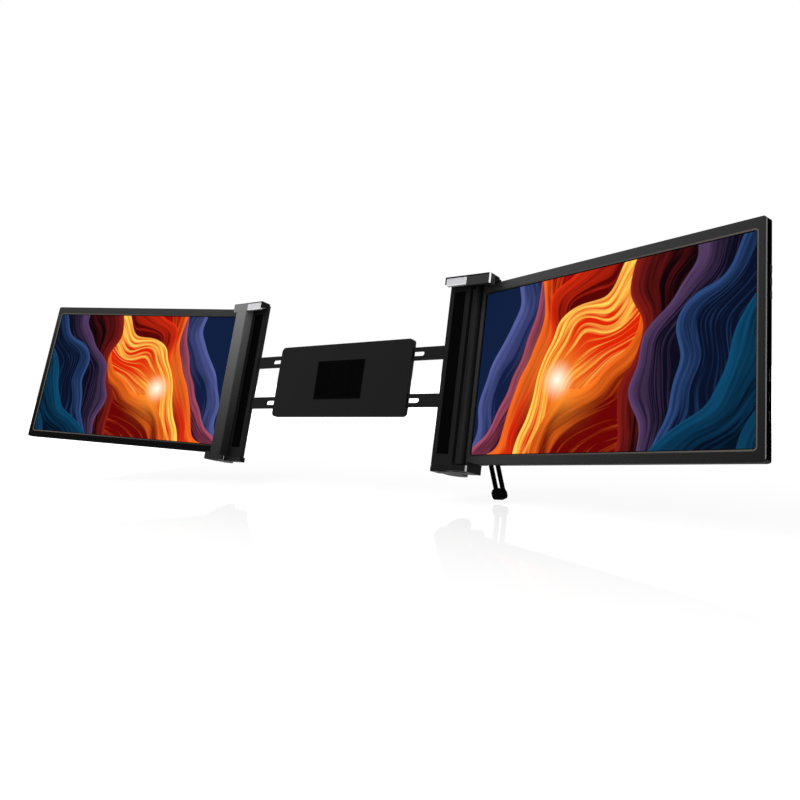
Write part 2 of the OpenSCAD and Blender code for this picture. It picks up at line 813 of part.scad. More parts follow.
// Thin ribs inside the back, above the recess and beside the board
module cover_ribs(edge_x) {
    z0 = screen_bottom + rib_low;
    y0 = cover_floor - rib_h;
    for (i = [1:rib_count])
        block([edge_x + i * screen_w / (rib_count + 2) - rib_t / 2, y0, z0],
              [edge_x + i * screen_w / (rib_count + 2) + rib_t / 2, cover_floor + eps, screen_top - 1]);
    for (z = [z0, (z0 + screen_top) / 2])
        block([edge_x + rib_side, y0, z], [edge_x + screen_w - board_w - 16, cover_floor + eps, z + rib_t]);
}

// Solid round the recess, from which the recess is then cut
module recess_walls(edge_x) {
    half = recess_w / 2 + cheek_t + recess_wall;
    block([leg_x - half, recess_y - 0.5, screen_bottom],
          [leg_x + half, cover_floor + eps, screen_bottom + recess_top + recess_wall]);
}

// Space that the stowed and the swinging leg needs in the cover
module leg_recess() {
    top = screen_bottom + recess_top;
    y1 = screen_back + 1;
    foot_z = leg_pin_z + leg_l - foot_h;
    block([leg_x - hub_l / 2 - gap, recess_y, screen_bottom - 1], [leg_x + hub_l / 2 + gap, y1, top]);
    block([leg_x - pivot_w / 2, recess_y, leg_pin_z - cheek_h / 2],
          [leg_x + pivot_w / 2, y1, leg_pin_z + cheek_h / 2]);
    block([leg_x - recess_w / 2, recess_y, foot_z - 1.5], [leg_x + recess_w / 2, y1, top]);
    // finger notch beside the foot
    drill(leg_x + recess_w / 2, foot_z + foot_h / 2, screen_back - 2.5, y1, notch_r);
}

module bezel_frame(edge_x) {
    x0 = edge_x + rim_inner;
    z0 = screen_bottom + rim_bottom;
    m = panel_border + panel_hidden;
    difference() {
        soft_slab(edge_x, screen_bottom, screen_w, screen_h, bezel_y, bezel_t, screen_corner, front_edge, 0);
        // window with small round corners
        translate([x0 - panel_border, panel_y + 1, z0 - panel_border]) rotate([90, 0, 0])
            linear_extrude(bezel_lip + 2)
                round_rect(picture_w + 2 * panel_border, picture_h + 2 * panel_border, 2.2);
        // rabbet for the panel
        block([x0 - m - 0.1, panel_y, z0 - m - 0.1],
              [x0 + picture_w + m + 0.1, cover_y + 1, z0 + picture_h + m + 0.1]);
    }
}

module display_panel(edge_x) {
    m = panel_border + panel_hidden;
    block([edge_x + rim_inner - m, panel_y, screen_bottom + rim_bottom - m],
          [edge_x + rim_inner + picture_w + m, tray_y, screen_bottom + rim_bottom + picture_h + m]);
}

module backlight_tray(edge_x) {
    m = panel_border + panel_hidden + 0.1;
    x0 = edge_x + rim_inner - m;
    z0 = screen_bottom + rim_bottom - m;
    w = picture_w + 2 * m;
    h = picture_h + 2 * m;
    wall = 0.7;
    difference() {
        block([x0 - wall, cover_y + 0.1, z0 - wall], [x0 + w + wall, tray_back, z0 + h + wall]);
        block([x0, cover_y - 1, z0], [x0 + w, tray_y, z0 + h]);
    }
}

module driver_board(edge_x) {
    x1 = edge_x + screen_w - cover_wall - board_margin;
    x0 = x1 - board_w;
    face = board_y + board_t - eps;
    chip_z = screen_bottom + max(port_z) + 1.5 * chip_w;
    switch_x = edge_x + screen_w - button_body - flange_t - button_travel - gap;
    difference() {
        union() {
            block([x0, board_y, screen_bottom + min(port_z) - board_end],
                  [x1, board_y + board_t, screen_bottom + max(button_z) + board_end]);
            // main chip, a smaller one and a row of parts
            translate([x0 + chip_w / 2, face, chip_z]) cube([chip_w, chip_t, chip_w]);
            translate([x0 + chip_w / 2, face, chip_z - 2 * chip_w])
                cube([small_chip_w, chip_t, small_chip_w]);
            for (i = [0:5])
                translate([x1 - chip_w, face, chip_z + (i - 2) * part_pitch]) cube([part_w, chip_t, part_w]);
            // key switches behind the buttons
            for (z = button_z)
                block([switch_x - switch_h, port_y - 1, screen_bottom + z - switch_h / 2],
                      [switch_x, port_y + 1, screen_bottom + z + switch_h / 2]);
        }
        // notches for the port shells and the buttons
        for (i = [0:2]) {
            block([x1 + board_margin - port_depth, board_y - 2, screen_bottom + port_z[i] - port_l[i] / 2],
                  [x1 + 1, board_y + 4, screen_bottom + port_z[i] + port_l[i] / 2]);
            block([switch_x - eps, board_y - 2, screen_bottom + button_z[i] - button_l / 2 - flange_l - 1],
                  [x1 + 1, board_y + 4, screen_bottom + button_z[i] + button_l / 2 + flange_l + 1]);
        }
    }
}

// Metal mouths of the ports, with their contact tongues
module port_shells(edge_x) {
    x1 = edge_x + screen_w - cover_wall;
    x0 = x1 - port_depth;
    wall = 0.35;
    for (i = [0:2]) {
        z = screen_bottom + port_z[i];
        difference() {
            side_slot(x0, x1, port_y, z, port_l[i], port_t);
            side_slot(x0 + 1, x1 + 1, port_y, z, port_l[i] - 2 * wall, port_t - 2 * wall);
        }
        block([x0 + 0.9, port_y - wall, z - port_l[i] / 2 + 1.2],
              [x1 - 1.5, port_y + wall, z + port_l[i] / 2 - 1.2]);
    }
}

web_sunk = 0.8;
web_end = 8;

// Barrel, web and tongue as one extruded profile
module hinge_barrel(r, edge_x) {
    difference() {
        union() {
            translate([0, 0, barrel_bottom]) cylinder(h = barrel_top - barrel_bottom, r = r);
            // web that fills the front between barrel and screen
            block([r - 2, bezel_y + web_sunk, screen_bottom + web_end],
                  [edge_x, web_t / 2, screen_top - web_end]);
            block([edge_x - 1, tongue_y, screen_bottom + tongue_end],
                  [edge_x + cover_wall + tongue_l, tongue_y + tongue_t, screen_top - tongue_end]);
        }
        translate([0, 0, barrel_bottom - 1])
            cylinder(h = barrel_top - barrel_bottom + 2, r = hinge_pin_r + pin_fit);
        for (z = hinge_screw_z)
            drill(hinge_screw_x(edge_x), z, tongue_y - 1, tongue_y + tongue_t + 1, screen_screw_r + pin_fit);
    }
}

// Screws through the cover into the tongue of the hinge
module hinge_screws(edge_x) {
    for (z = hinge_screw_z)
        screw(hinge_screw_x(edge_x), z, tongue_y, screen_back - 0.1,
              screen_screw_r, screen_head_r, screen_head_t - 0.1);
}

module cover_screws(edge_x) {
    for (p = cover_screw_places(edge_x))
        screw(p[0], p[1], tray_back, screen_back - 0.2, screen_screw_r, screen_head_r, screen_head_t);
}

// One button, at rest, proud of the screen's free edge
module side_button(edge_x, z) {
    xo = edge_x + screen_w;
    zc = screen_bottom + z;
    side_slot(xo - button_body, xo + button_proud, port_y, zc, button_l, button_t);
    block([xo - button_body - flange_t, port_y - button_t / 2, zc - button_l / 2 - flange_l],
          [xo - button_body + eps, port_y + button_t / 2, zc + button_l / 2 + flange_l]);
}

module left_rear_cover() { color(casing) place_left() rear_cover_shell(left_edge_x, false); }
module left_bezel() { color(casing) place_left() bezel_frame(left_edge_x); }
module left_display_panel() { color(glass) place_left() display_panel(left_edge_x); }
module left_backlight_tray() { color(steel) place_left() backlight_tray(left_edge_x); }
module left_driver_board() { color(board_green) place_left() driver_board(left_edge_x); }
module left_port_shells() { color(steel) place_left() port_shells(left_edge_x); }
module left_hinge_barrel() { color(dark) place_left() hinge_barrel(left_barrel_r, left_edge_x); }
module left_cover_screws() { color(dark) place_left() cover_screws(left_edge_x); }
module left_hinge_screws() { color(dark) place_left() hinge_screws(left_edge_x); }
module left_power_button() { color(dark) place_left() side_button(left_edge_x, button_z[0]); }
module left_up_button() { color(dark) place_left() side_button(left_edge_x, button_z[1]); }
module left_down_button() { color(dark) place_left() side_button(left_edge_x, button_z[2]); }

module right_rear_cover() { color(casing) place_right() rear_cover_shell(right_edge_x, true); }
module right_bezel() { color(casing) place_right() bezel_frame(right_edge_x); }
module right_display_panel() { color(glass) place_right() display_panel(right_edge_x); }
module right_backlight_tray() { color(steel) place_right() backlight_tray(right_edge_x); }
module right_driver_board() { color(board_green) place_right() driver_board(right_edge_x); }
module right_port_shells() { color(steel) place_right() port_shells(right_edge_x); }
module right_hinge_barrel() { color(dark) place_right() hinge_barrel(right_barrel_r, right_edge_x); }
module right_cover_screws() { color(dark) place_right() cover_screws(right_edge_x); }
module right_hinge_screws() { color(dark) place_right() hinge_screws(right_edge_x); }
module right_power_button() { color(dark) place_right() side_button(right_edge_x, button_z[0]); }
module right_up_button() { color(dark) place_right() side_button(right_edge_x, button_z[1]); }
module right_down_button() { color(dark) place_right() side_button(right_edge_x, button_z[2]); }

// ---- leg under the right screen ----

// Two cheeks that hold the ends of the leg's pin
module leg_bracket() {
    color(steel)
    place_right()
    for (side = [-1, 1])
        difference() {
            translate([leg_x + side * (pivot_w - cheek_t) / 2, recess_y, leg_pin_z - cheek_h / 2])
                translate([-cheek_t / 2, 0, 0]) cube([cheek_t, screen_back - recess_y, cheek_h]);
            axle(leg_y, leg_pin_z, leg_x - hub_l, leg_x + hub_l, leg_pin_r + pin_grip);
        }
}

module leg_pin() {
    color(steel)
    place_right()
        axle(leg_y, leg_pin_z, leg_x - pivot_w / 2, leg_x + pivot_w / 2, leg_pin_r);
}

// Places children of the leg, drawn with the pin on X through the origin and the leg hanging down
module place_leg() {
    place_right() translate([leg_x, leg_y, leg_pin_z]) rotate([leg_angle, 0, 0]) children();
}

module leg_rods() {
    color(dark)
    place_leg()
    difference() {
        union() {
            axle(0, 0, -hub_l / 2, hub_l / 2, leg_rod_r);
            for (side = [-1, 1])
                translate([side * leg_spread / 2, 0, rod_end - leg_l])
                    cylinder(h = leg_l - rod_end, r = leg_rod_r);
        }
        axle(0, 0, -hub_l, hub_l, leg_pin_r + pin_fit);
    }
}

// Rubber foot with sloped shoulders, pushed onto both rods
rod_end = 2;
sole_slope = [1.6, 2.5];
shoulder = [2.4, 3.4];
dip = 1.6;

module leg_foot() {
    half = [for (side = [-1, 1]) side * foot_w / 2];
    color(dark)
    place_leg()
    difference() {
        translate([0, leg_rod_r, -leg_l]) rotate([90, 0, 0])
            linear_extrude(foot_d)
                polygon([[half[0], sole_slope[1]], [half[0] + sole_slope[0], 0],
                         [half[1] - sole_slope[0], 0], [half[1], sole_slope[1]],
                         [half[1], foot_h - shoulder[1]], [half[1] - shoulder[0], foot_h],
                         [dip, foot_h], [0, foot_h - dip], [-dip, foot_h],
                         [half[0] + shoulder[0], foot_h], [half[0], foot_h - shoulder[1]]]);
        for (side = [-1, 1])
            translate([side * leg_spread / 2, 0, rod_end - leg_l]) cylinder(h = leg_l, r = leg_rod_r);
    }
}

frame_housing();
frame_cover();
frame_screws();
lid_seat_pad();
arm_brakes();
left_arm();
left_post();
left_top_cap();
left_bottom_cap();
left_hook_pad();
left_foot_pad();
left_seat_strip();
left_hinge_pin();
left_hinge_washers();
left_clamp_screws();
right_arm();
right_top_cap();
right_bottom_cap();
right_hook_pad();
right_foot_pad();
right_seat_strip();
right_hinge_pin();
right_hinge_washers();
right_clamp_screws();
left_rear_cover();
left_bezel();
left_display_panel();
left_backlight_tray();
left_driver_board();
left_port_shells();
left_hinge_barrel();
left_cover_screws();
left_hinge_screws();
left_power_button();
left_up_button();
left_down_button();
right_rear_cover();
right_bezel();
right_display_panel();
right_backlight_tray();
right_driver_board();
right_port_shells();
right_hinge_barrel();
right_cover_screws();
right_hinge_screws();
right_power_button();
right_up_button();
right_down_button();
leg_bracket();
leg_pin();
leg_rods();
leg_foot();
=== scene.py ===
"""Looks of a laptop screen extender: two side screens on a sliding frame that hooks over a lid.

Lengths are in metres. +X is to the viewer's right, +Y to the back and +Z up along the lid.
"""

import json
from math import atan2, cos, radians, sin

import bpy
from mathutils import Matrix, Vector


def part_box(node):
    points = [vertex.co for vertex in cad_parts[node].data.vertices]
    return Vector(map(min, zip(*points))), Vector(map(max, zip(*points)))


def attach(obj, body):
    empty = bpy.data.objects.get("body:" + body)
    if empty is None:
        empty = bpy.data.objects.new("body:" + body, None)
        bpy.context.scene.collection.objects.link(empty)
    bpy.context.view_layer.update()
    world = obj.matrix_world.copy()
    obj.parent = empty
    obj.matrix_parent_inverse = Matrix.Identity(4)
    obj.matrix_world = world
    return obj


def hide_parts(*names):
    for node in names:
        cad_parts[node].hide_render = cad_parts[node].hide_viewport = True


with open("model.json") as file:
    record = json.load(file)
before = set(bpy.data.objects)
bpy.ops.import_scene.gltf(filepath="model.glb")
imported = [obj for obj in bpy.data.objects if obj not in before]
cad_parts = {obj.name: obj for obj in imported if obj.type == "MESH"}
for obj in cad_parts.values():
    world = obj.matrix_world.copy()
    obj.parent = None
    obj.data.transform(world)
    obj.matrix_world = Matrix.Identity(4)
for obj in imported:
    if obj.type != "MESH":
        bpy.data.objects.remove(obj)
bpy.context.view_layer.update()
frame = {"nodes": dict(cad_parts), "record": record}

bl_info = {
    "name": "Screen extender looks",
    "version": (1, 0, 0),
    "blender": (4, 5, 0),
    "location": "3D View > Sidebar > Extender",
    "description": "Softened edges, pads, pictures and finishes of a laptop screen extender",
    "category": "Object",
}

SIDES = ("left", "right")
BUTTONS = ("power", "up", "down")

GAMMA = 2.2
TOUCH = 1e-5  # points nearer than this to a plane lie on it
APART = 1e-4  # points further than this from a plane lie off it
LEANS = 0.3  # a face leans towards a direction when its normal goes that far along it
FACES = 0.95  # and faces the direction from here on
WINDOW_MARGIN = 0.0011  # a bezel's window ends within this distance round the picture
LIP_MARGIN = 0.0013  # and its lip within this and the lip's width


# ---- settings ----

def number_property(name, description, default, **settings):
    return bpy.props.FloatProperty(name=name, description=description, default=default, **settings)


def vector_property(name, description, default, **settings):
    return bpy.props.FloatVectorProperty(
        name=name, description=description, default=default, size=3, **settings)


def colour_property(name, description, default):
    """A colour without alpha, in linear light."""
    return vector_property(name, description, default, subtype="COLOR", min=0.0, max=1.0)


def length_property(name, description, default):
    return number_property(name, description, default, min=0.0, unit="LENGTH", precision=5)


def grey(level):
    """A neutral colour in linear light, from its 8-bit level."""
    return ((level / 255) ** GAMMA,) * 3


class ExtenderShape(bpy.types.PropertyGroup):
    cast_edge: length_property("Cast edge", "Radius on the edges of the caps", 0.0003)
    moulded_edge: length_property("Moulded edge", "Radius on the edges of moulded parts", 0.00025)
    lip_width: length_property("Lip width", "Width of the lip round the window of a bezel", 0.0013)
    lip_drop: length_property("Lip drop", "How far the lip falls towards the window", 0.0003)
    barrel_belly: length_property(
        "Barrel belly", "How far forward the right barrel's front is beside its round part", 0.0077)
    pad_edge: length_property("Pad edge", "Radius on the corners of the silicone pads", 0.0013)
    pad_rim: length_property("Pad rim", "Width of the rim round the hollow of a pad", 0.0009)
    pad_hollow: length_property("Pad hollow", "Depth of the hollow in a pad's front", 0.0003)
    rubber_grid: length_property("Rubber grid", "Grid on which the rubber foot is moulded", 0.0004)


class ExtenderFinish(bpy.types.PropertyGroup):
    casing: colour_property("Casing", "Moulded rear covers and frame", grey(24))
    side: colour_property("Side", "Free ends of the screens", grey(9))
    # a lighter grey on the rounded edge between a rear cover's side and its bezel: a painted highlight
    seam: colour_property("Seam", "Line where a rear cover meets its bezel", grey(60))
    # a light grey painted on the slanted front edges at the free ends: a painted highlight
    edge: colour_property("Edge", "Smooth front edges at the free ends of the bezels", grey(130))
    # the lip's warm grey is a painted highlight, and its darker grey at the hinge's end is painted shade
    lip: colour_property("Lip", "Lip round the window of a bezel, at its free end", (0.125, 0.105, 0.095))
    lip_shaded: colour_property("Lip by the hinge", "The same lip at the hinge's end", grey(40))
    # the right caps carry a darker copy of the left caps' grey, and the bottom one darker still: painted
    # shade
    right_cap: colour_property("Right cap", "Painted top cap on the right", grey(58))
    low_cap: colour_property("Low cap", "Painted bottom cap on the right", grey(26))
    hood: colour_property("Hood", "Roof edge and inner end of the right cap", grey(5))
    trim: colour_property("Trim", "Bright chamfers on the right caps", (0.92, 0.92, 0.93))
    # the bottom cap's chamfer is a darker copy of the top one's: painted shade
    dull_trim: colour_property("Dull trim", "Chamfer on the right bottom cap", (0.42, 0.42, 0.43))
    steel: colour_property("Steel", "Pins, trays and port shells", (0.56, 0.56, 0.58))
    screw: colour_property("Screw", "Blackened screws", grey(40))
    silicone: colour_property("Silicone", "Pads that touch the lid", (0.86, 0.86, 0.88))
    hollow: colour_property("Pad hollow", "Shaded hollow of a pad", (0.70, 0.70, 0.735))
    rod: colour_property("Rod", "Painted rods of the leg", grey(5))
    rubber: colour_property("Rubber", "Foot of the leg, seat strips and brake shoes", grey(8))
    board: colour_property("Board", "Solder mask of the driver boards", (0.01, 0.08, 0.035))


class ExtenderPicture(bpy.types.PropertyGroup):
    width: length_property("Width", "Width of a picture", 0.2938)
    height: length_property("Height", "Height of a picture", 0.1652)
    brightness: number_property("Brightness", "Strength of the pictures' light", 1.12, min=0.0)
    glow: vector_property("Glow", "Place of the glow, in half heights from the middle", (-0.52, 0.0, -0.2))


class ExtenderStage(bpy.types.PropertyGroup):
    lens: number_property("Lens", "Focal length on a 36 mm sensor", 37.41, min=1.0, unit="CAMERA")
    camera_place: vector_property(
        "Camera place", "Position of the camera", (0.6355, -0.6618, -0.1813), subtype="TRANSLATION")
    camera_turn: vector_property(
        "Camera turn", "Rotation of the camera", (radians(106.339), radians(-7.323), radians(38.031)),
        subtype="EULER")
    frame_shift: number_property("Frame shift", "Vertical shift of the camera's frame", -0.1074)
    floor_tilt: number_property(
        "Floor tilt", "Lean of the lid against the table", radians(16.3), subtype="ANGLE")
    key_power: number_property("Key power", "Power of the main lamp", 16.0, min=0.0, unit="POWER")
    fill_power: number_property("Fill power", "Power of the lamps at the sides", 7.0, min=0.0, unit="POWER")


# ---- small tools ----

def clear_selection():
    if bpy.context.object and bpy.context.object.mode != "OBJECT":
        bpy.ops.object.mode_set(mode="OBJECT")
    bpy.ops.object.select_all(action="DESELECT")


def pick(piece):
    """Makes a piece the only selected object."""
    clear_selection()
    piece.select_set(True)
    bpy.context.view_layer.objects.active = piece


def select_parts(piece, kind, wanted):
    """Selects the faces or edges for which wanted(part) holds, and nothing else."""
    pick(piece)
    bpy.ops.object.mode_set(mode="EDIT")
    bpy.ops.mesh.select_mode(type=kind)
    bpy.ops.mesh.select_all(action="DESELECT")
    bpy.ops.object.mode_set(mode="OBJECT")
    for part in piece.data.polygons if kind == "FACE" else piece.data.edges:
        part.select = wanted(part)
    bpy.ops.object.mode_set(mode="EDIT")


def select_faces(piece, wanted):
    select_parts(piece, "FACE", wanted)


def select_edges(piece, wanted):
    """Selects the edges for which wanted(end, end) holds."""
    select_parts(piece, "EDGE", lambda edge: wanted(*(piece.data.vertices[i].co for i in edge.vertices)))


def leave_edit():
    bpy.ops.object.mode_set(mode="OBJECT")


def join_flats(piece):
    """Merges doubles and makes each flat stretch one face."""
    pick(piece)
    bpy.ops.object.mode_set(mode="EDIT")
    bpy.ops.mesh.select_all(action="SELECT")
    bpy.ops.mesh.remove_doubles(threshold=2e-6)
    bpy.ops.mesh.dissolve_limited(angle_limit=radians(0.5))
    leave_edit()


def copy_of_node(node, name):
    """A copy of a CAD node's mesh, with its doubles merged and its flat stretches joined."""
    piece = bpy.data.objects.new(name, frame["nodes"][node].data.copy())
    bpy.context.scene.collection.objects.link(piece)
    piece.data.materials.clear()
    join_flats(piece)
    bpy.ops.mesh.customdata_custom_splitnormals_clear()
    return piece


def settle(piece):
    """Moves the place, turn and size of a piece into its mesh."""
    pick(piece)
    bpy.ops.object.transform_apply(location=True, rotation=True, scale=True)


def add_box(name, low, high):
    """A box between two corners."""
    clear_selection()
    low, high = Vector(low), Vector(high)
    bpy.ops.mesh.primitive_cube_add(size=1, location=(low + high) / 2)
    piece = bpy.context.object
    piece.name = name
    piece.scale = high - low
    settle(piece)
    return piece


def add_rod(name, radius, place, low, high, vertices=40):
    """A round bar along Z, from one height to another."""
    clear_selection()
    bpy.ops.mesh.primitive_cylinder_add(
        vertices=vertices, radius=radius, depth=high - low, location=(place.x, place.y, (low + high) / 2))
    piece = bpy.context.object
    piece.name = name
    settle(piece)
    return piece


def apply_modifiers(piece):
    pick(piece)
    for name in [modifier.name for modifier in piece.modifiers]:
        bpy.ops.object.modifier_apply(modifier=name)


def soften(piece, radius, segments=2, angle=50.0):
    """Rounds the edges over which a piece turns by more than an angle in degrees."""
    bevel = piece.modifiers.new("edge radius", "BEVEL")
    bevel.width = radius
    bevel.segments = segments
    bevel.limit_method = "ANGLE"
    bevel.angle_limit = radians(angle)
    bevel.use_clamp_overlap = True
    apply_modifiers(piece)


def combine(piece, other, operation):
    """Joins another solid to a piece, or cuts it out of the piece, and deletes it."""
    boolean = piece.modifiers.new("combine", "BOOLEAN")
    boolean.operation = operation
    boolean.solver = "MANIFOLD"
    boolean.object = other
    apply_modifiers(piece)
    bpy.data.objects.remove(other)


def smooth(piece):
    """Shades curves smoothly and keeps the flat faces flat."""
    pick(piece)
    bpy.ops.object.shade_smooth_by_angle(angle=radians(35.0))
    flatten = piece.modifiers.new("flat faces", "WEIGHTED_NORMAL")
    flatten.keep_sharp = True
    apply_modifiers(piece)


def hand_over(piece, node, slot, *finishes):
    """Lets a finished piece stand for a CAD node, on the node's own body."""
    piece.data.materials.clear()
    for name in finishes:
        piece.data.materials.append(finish_of(name))
    smooth(piece)
    body = next(b for b, nodes in frame["record"]["behaviour"]["bodies"].items() if node in nodes)
    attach(piece, body)
    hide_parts(node)


def use_second_finish(piece, wanted):
    """Gives the faces for which wanted(face) holds the second of the piece's finishes."""
    for face in piece.data.polygons:
        if wanted(face):
            face.material_index = 1


def paint(node, material):
    """Gives a CAD node that stays in view its finish."""
    shown = frame["nodes"][node]
    shown.data.materials.clear()
    shown.data.materials.append(material)


# ---- places on the extender ----

def front_face(node):
    """The largest face of a node that looks towards the viewer: its centre and its turn about Z."""
    mesh = frame["nodes"][node].data
    facing = [face for face in mesh.polygons if face.normal.y < -0.5]
    widest = max(facing, key=lambda face: face.area)
    level = [face for face in facing if face.normal.dot(widest.normal) > 0.999]
    corners = [mesh.vertices[i].co for face in level for i in face.vertices]
    reach = [corner.dot(widest.normal) for corner in corners]
    front = [corner for corner, far in zip(corners, reach) if far > max(reach) - TOUCH]
    centre = sum(front, Vector()) / len(front)
    return centre, atan2(widest.normal.x, -widest.normal.y)


def display_place(side):
    """The centre of a display's front, and its turn about Z."""
    return front_face(side + "_display_panel")


def outward_sign(side):
    return 1.0 if side == "right" else -1.0


def screen_directions(side):
    """Where a screen's front looks, and the way from its hinge to its free end."""
    turn = display_place(side)[1]
    return Vector((sin(turn), -cos(turn), 0)), Vector((cos(turn), sin(turn), 0)) * outward_sign(side)


def hinge_axis(side):
    """A point on the axis of a hinge, and the radius of its washers."""
    low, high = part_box(side + "_hinge_washers")
    return (low + high) / 2, (high.x - low.x) / 2


# ---- material tools ----

def connect(tree, node, inputs):
    """Gives a node its inputs. Each is a plain value or the output socket of another node."""
    for name, value in inputs.items():
        if isinstance(value, bpy.types.NodeSocket):
            tree.links.new(value, node.inputs[name])
        else:
            node.inputs[name].default_value = value


def add_node(tree, kind, inputs=None, **settings):
    """Adds a shader node with its settings and inputs."""
    made = tree.nodes.new("ShaderNode" + kind)
    for name, value in settings.items():
        setattr(made, name, value)
    connect(tree, made, inputs or {})
    return made


def arrange(tree):
    """Lays the nodes out in columns, from left to right along their links."""
    column = {node: 0 for node in tree.nodes}
    for _ in tree.nodes:
        for link in tree.links:
            column[link.to_node] = max(column[link.to_node], column[link.from_node] + 1)
    height = {}
    for node in tree.nodes:
        row = height.get(column[node], 0)
        node.location = (220 * column[node], -260 * row)
        height[column[node]] = row + 1


def start_group(name, inputs, outputs):
    """A shader node group. Inputs have one, three or four numbers: a value, a vector or a colour."""
    kinds = {1: "Float", 3: "Vector", 4: "Color"}
    group = bpy.data.node_groups.new(name, "ShaderNodeTree")
    for label, default in inputs.items():
        size = len(default) if isinstance(default, tuple) else 1
        socket = group.interface.new_socket(label, in_out="INPUT", socket_type="NodeSocket" + kinds[size])
        socket.default_value = default
    for label, kind in outputs.items():
        group.interface.new_socket(label, in_out="OUTPUT", socket_type="NodeSocket" + kind)
    return group, group.nodes.new("NodeGroupInput").outputs, group.nodes.new("NodeGroupOutput")


def math(tree, operation, *values, clamp=False):
    return add_node(tree, "Math", dict(enumerate(values)),
                    operation=operation, use_clamp=clamp).outputs[0]


def vector_math(tree, operation, *values):
    return add_node(tree, "VectorMath", dict(enumerate(values)), operation=operation).outputs


def blend(tree, factor, first, second):
    """Mixes two colours."""
    return add_node(tree, "Mix", {0: factor, 6: first, 7: second}, data_type="RGBA").outputs[2]


def between(tree, value, low, high, at_low=0.0, at_high=1.0):
    """Goes evenly from at_low to at_high while the value goes from low to high, and stays there beyond."""
    return add_node(tree, "MapRange", {"Value": value, "From Min": low, "From Max": high,
                                       "To Min": at_low, "To Max": at_high}).outputs[0]


def noise(tree, vector, scale, detail, distortion=0.0):
    return add_node(tree, "TexNoise", {"Vector": vector, "Scale": scale, "Detail": detail,
                                       "Distortion": distortion}).outputs


def bump(tree, height, strength, distance):
    inputs = {"Height": height, "Strength": strength, "Distance": distance}
    return add_node(tree, "Bump", inputs).outputs[0]


def rgba(colour):
    return (*colour, 1.0)


def level_grey(tree, level):
    """A grey in linear light from a level between 0 and 1."""
    return math(tree, "POWER", level, GAMMA)


def object_place(tree):
    """The shaded point in the frame that all pieces share."""
    return add_node(tree, "TexCoord").outputs["Object"]


def own_place(tree, centre, turn, scale=(1.0, 1.0, 1.0)):
    """The shaded point as seen from a centre that is turned about Z, in units of a scale."""
    inputs = {"Vector": object_place(tree), "Location": centre, "Rotation": (0.0, 0.0, turn), "Scale": scale}
    return add_node(tree, "Mapping", inputs, vector_type="TEXTURE").outputs[0]


def parts_of(tree, vector):
    """The X, Y and Z of a vector."""
    return add_node(tree, "SeparateXYZ", {"Vector": vector}).outputs


def make_grain_group():
    """Fine moulded or sprayed grain as a height, and slow shifts of tone as a factor round one."""
    group, given, made = start_group("surface grain", {"Grains per metre": 1500.0, "Tone shift": 0.08},
                                     {"Height": "Float", "Tone": "Float"})
    shifts_per_metre = 22.0
    place = object_place(group)
    grain = noise(group, place, given["Grains per metre"], 3.0)["Fac"]
    centred = math(group, "SUBTRACT", noise(group, place, shifts_per_metre, 3.0)["Fac"], 0.5)
    tone = math(group, "MULTIPLY_ADD", centred, given["Tone shift"], 1.0)
    connect(group, made, {"Height": grain, "Tone": tone})
    arrange(group)
    return group


def make_brushed_group():
    """Long fine scratches along Z, as a height and as a shift of roughness."""
    group, given, made = start_group("brushed lines", {"Lines per metre": 4000.0},
                                     {"Height": "Float", "Roughness": "Float"})
    smoothest, roughest = 0.22, 0.42
    stretched = add_node(group, "Mapping", {"Vector": object_place(group), "Scale": (1.0, 1.0, 0.02)})
    lines = noise(group, stretched.outputs[0], given["Lines per metre"], 2.0)["Fac"]
    connect(group, made, {"Height": lines, "Roughness": between(group, lines, 0.0, 1.0, smoothest, roughest)})
    arrange(group)
    return group


GROUPS = {}


def use_group(tree, name, inputs):
    """Puts a shared node group into a tree and gives its outputs."""
    makers = {"grain": make_grain_group, "brushed": make_brushed_group,
              "fold": make_fold_group, "picture": make_picture_group}
    if name not in GROUPS:
        GROUPS[name] = makers[name]()
    return add_node(tree, "Group", inputs, node_tree=GROUPS[name]).outputs


def empty_tree(owner):
    """Clears the node tree of a material or world."""
    owner.use_nodes = True
    owner.node_tree.nodes.clear()
    return owner.node_tree


def start_material(name):
    material = bpy.data.materials.new(name)
    tree = empty_tree(material)
    shader = add_node(tree, "BsdfPrincipled")
    add_node(tree, "OutputMaterial", {"Surface": shader.outputs[0]})
    return material, tree, shader


def grained(name, colour, roughness, specular, grains, depth, tone=0.08):
    """A matt plastic, paint or rubber. The colour is a value, or a function of the node tree."""
    material, tree, shader = start_material(name)
    grain = use_group(tree, "grain", {"Grains per metre": grains, "Tone shift": tone})
    base = colour(tree) if callable(colour) else rgba(colour)
    toned = add_node(tree, "HueSaturation", {"Value": grain["Tone"], "Color": base}).outputs[0]
    connect(tree, shader, {"Base Color": toned, "Roughness": math(tree, "MULTIPLY", grain["Tone"], roughness),
                           "Normal": bump(tree, grain["Height"], 0.6, depth), "Specular IOR Level": specular})
    arrange(tree)
    return material


def brushed(name, colour):
    """Bare metal with fine lines."""
    material, tree, shader = start_material(name)
    lines = use_group(tree, "brushed", {})
    connect(tree, shader, {"Roughness": lines["Roughness"], "Base Color": rgba(colour), "Metallic": 1.0,
                           "Normal": bump(tree, lines["Height"], 0.3, 0.00001)})
    arrange(tree)
    return material


# ---- finishes of the extender ----

def screen_place(tree, side):
    """The shaded point in the screen's own frame, in half widths and half heights of its picture."""
    picture = bpy.context.scene.extender_picture
    half = (picture.width / 2, 1.0, picture.height / 2)
    return parts_of(tree, own_place(tree, *display_place(side), half))


# A bezel's grey from 0 to 1, painted lighter towards the top and sloping across as painted light and shade:
# its level at the middle, its rise across and its rise upwards.
BEZEL_PAINTED_LIGHT = {"left": (0.134, 0.018, 0.094), "right": (0.219, -0.048, 0.030)}


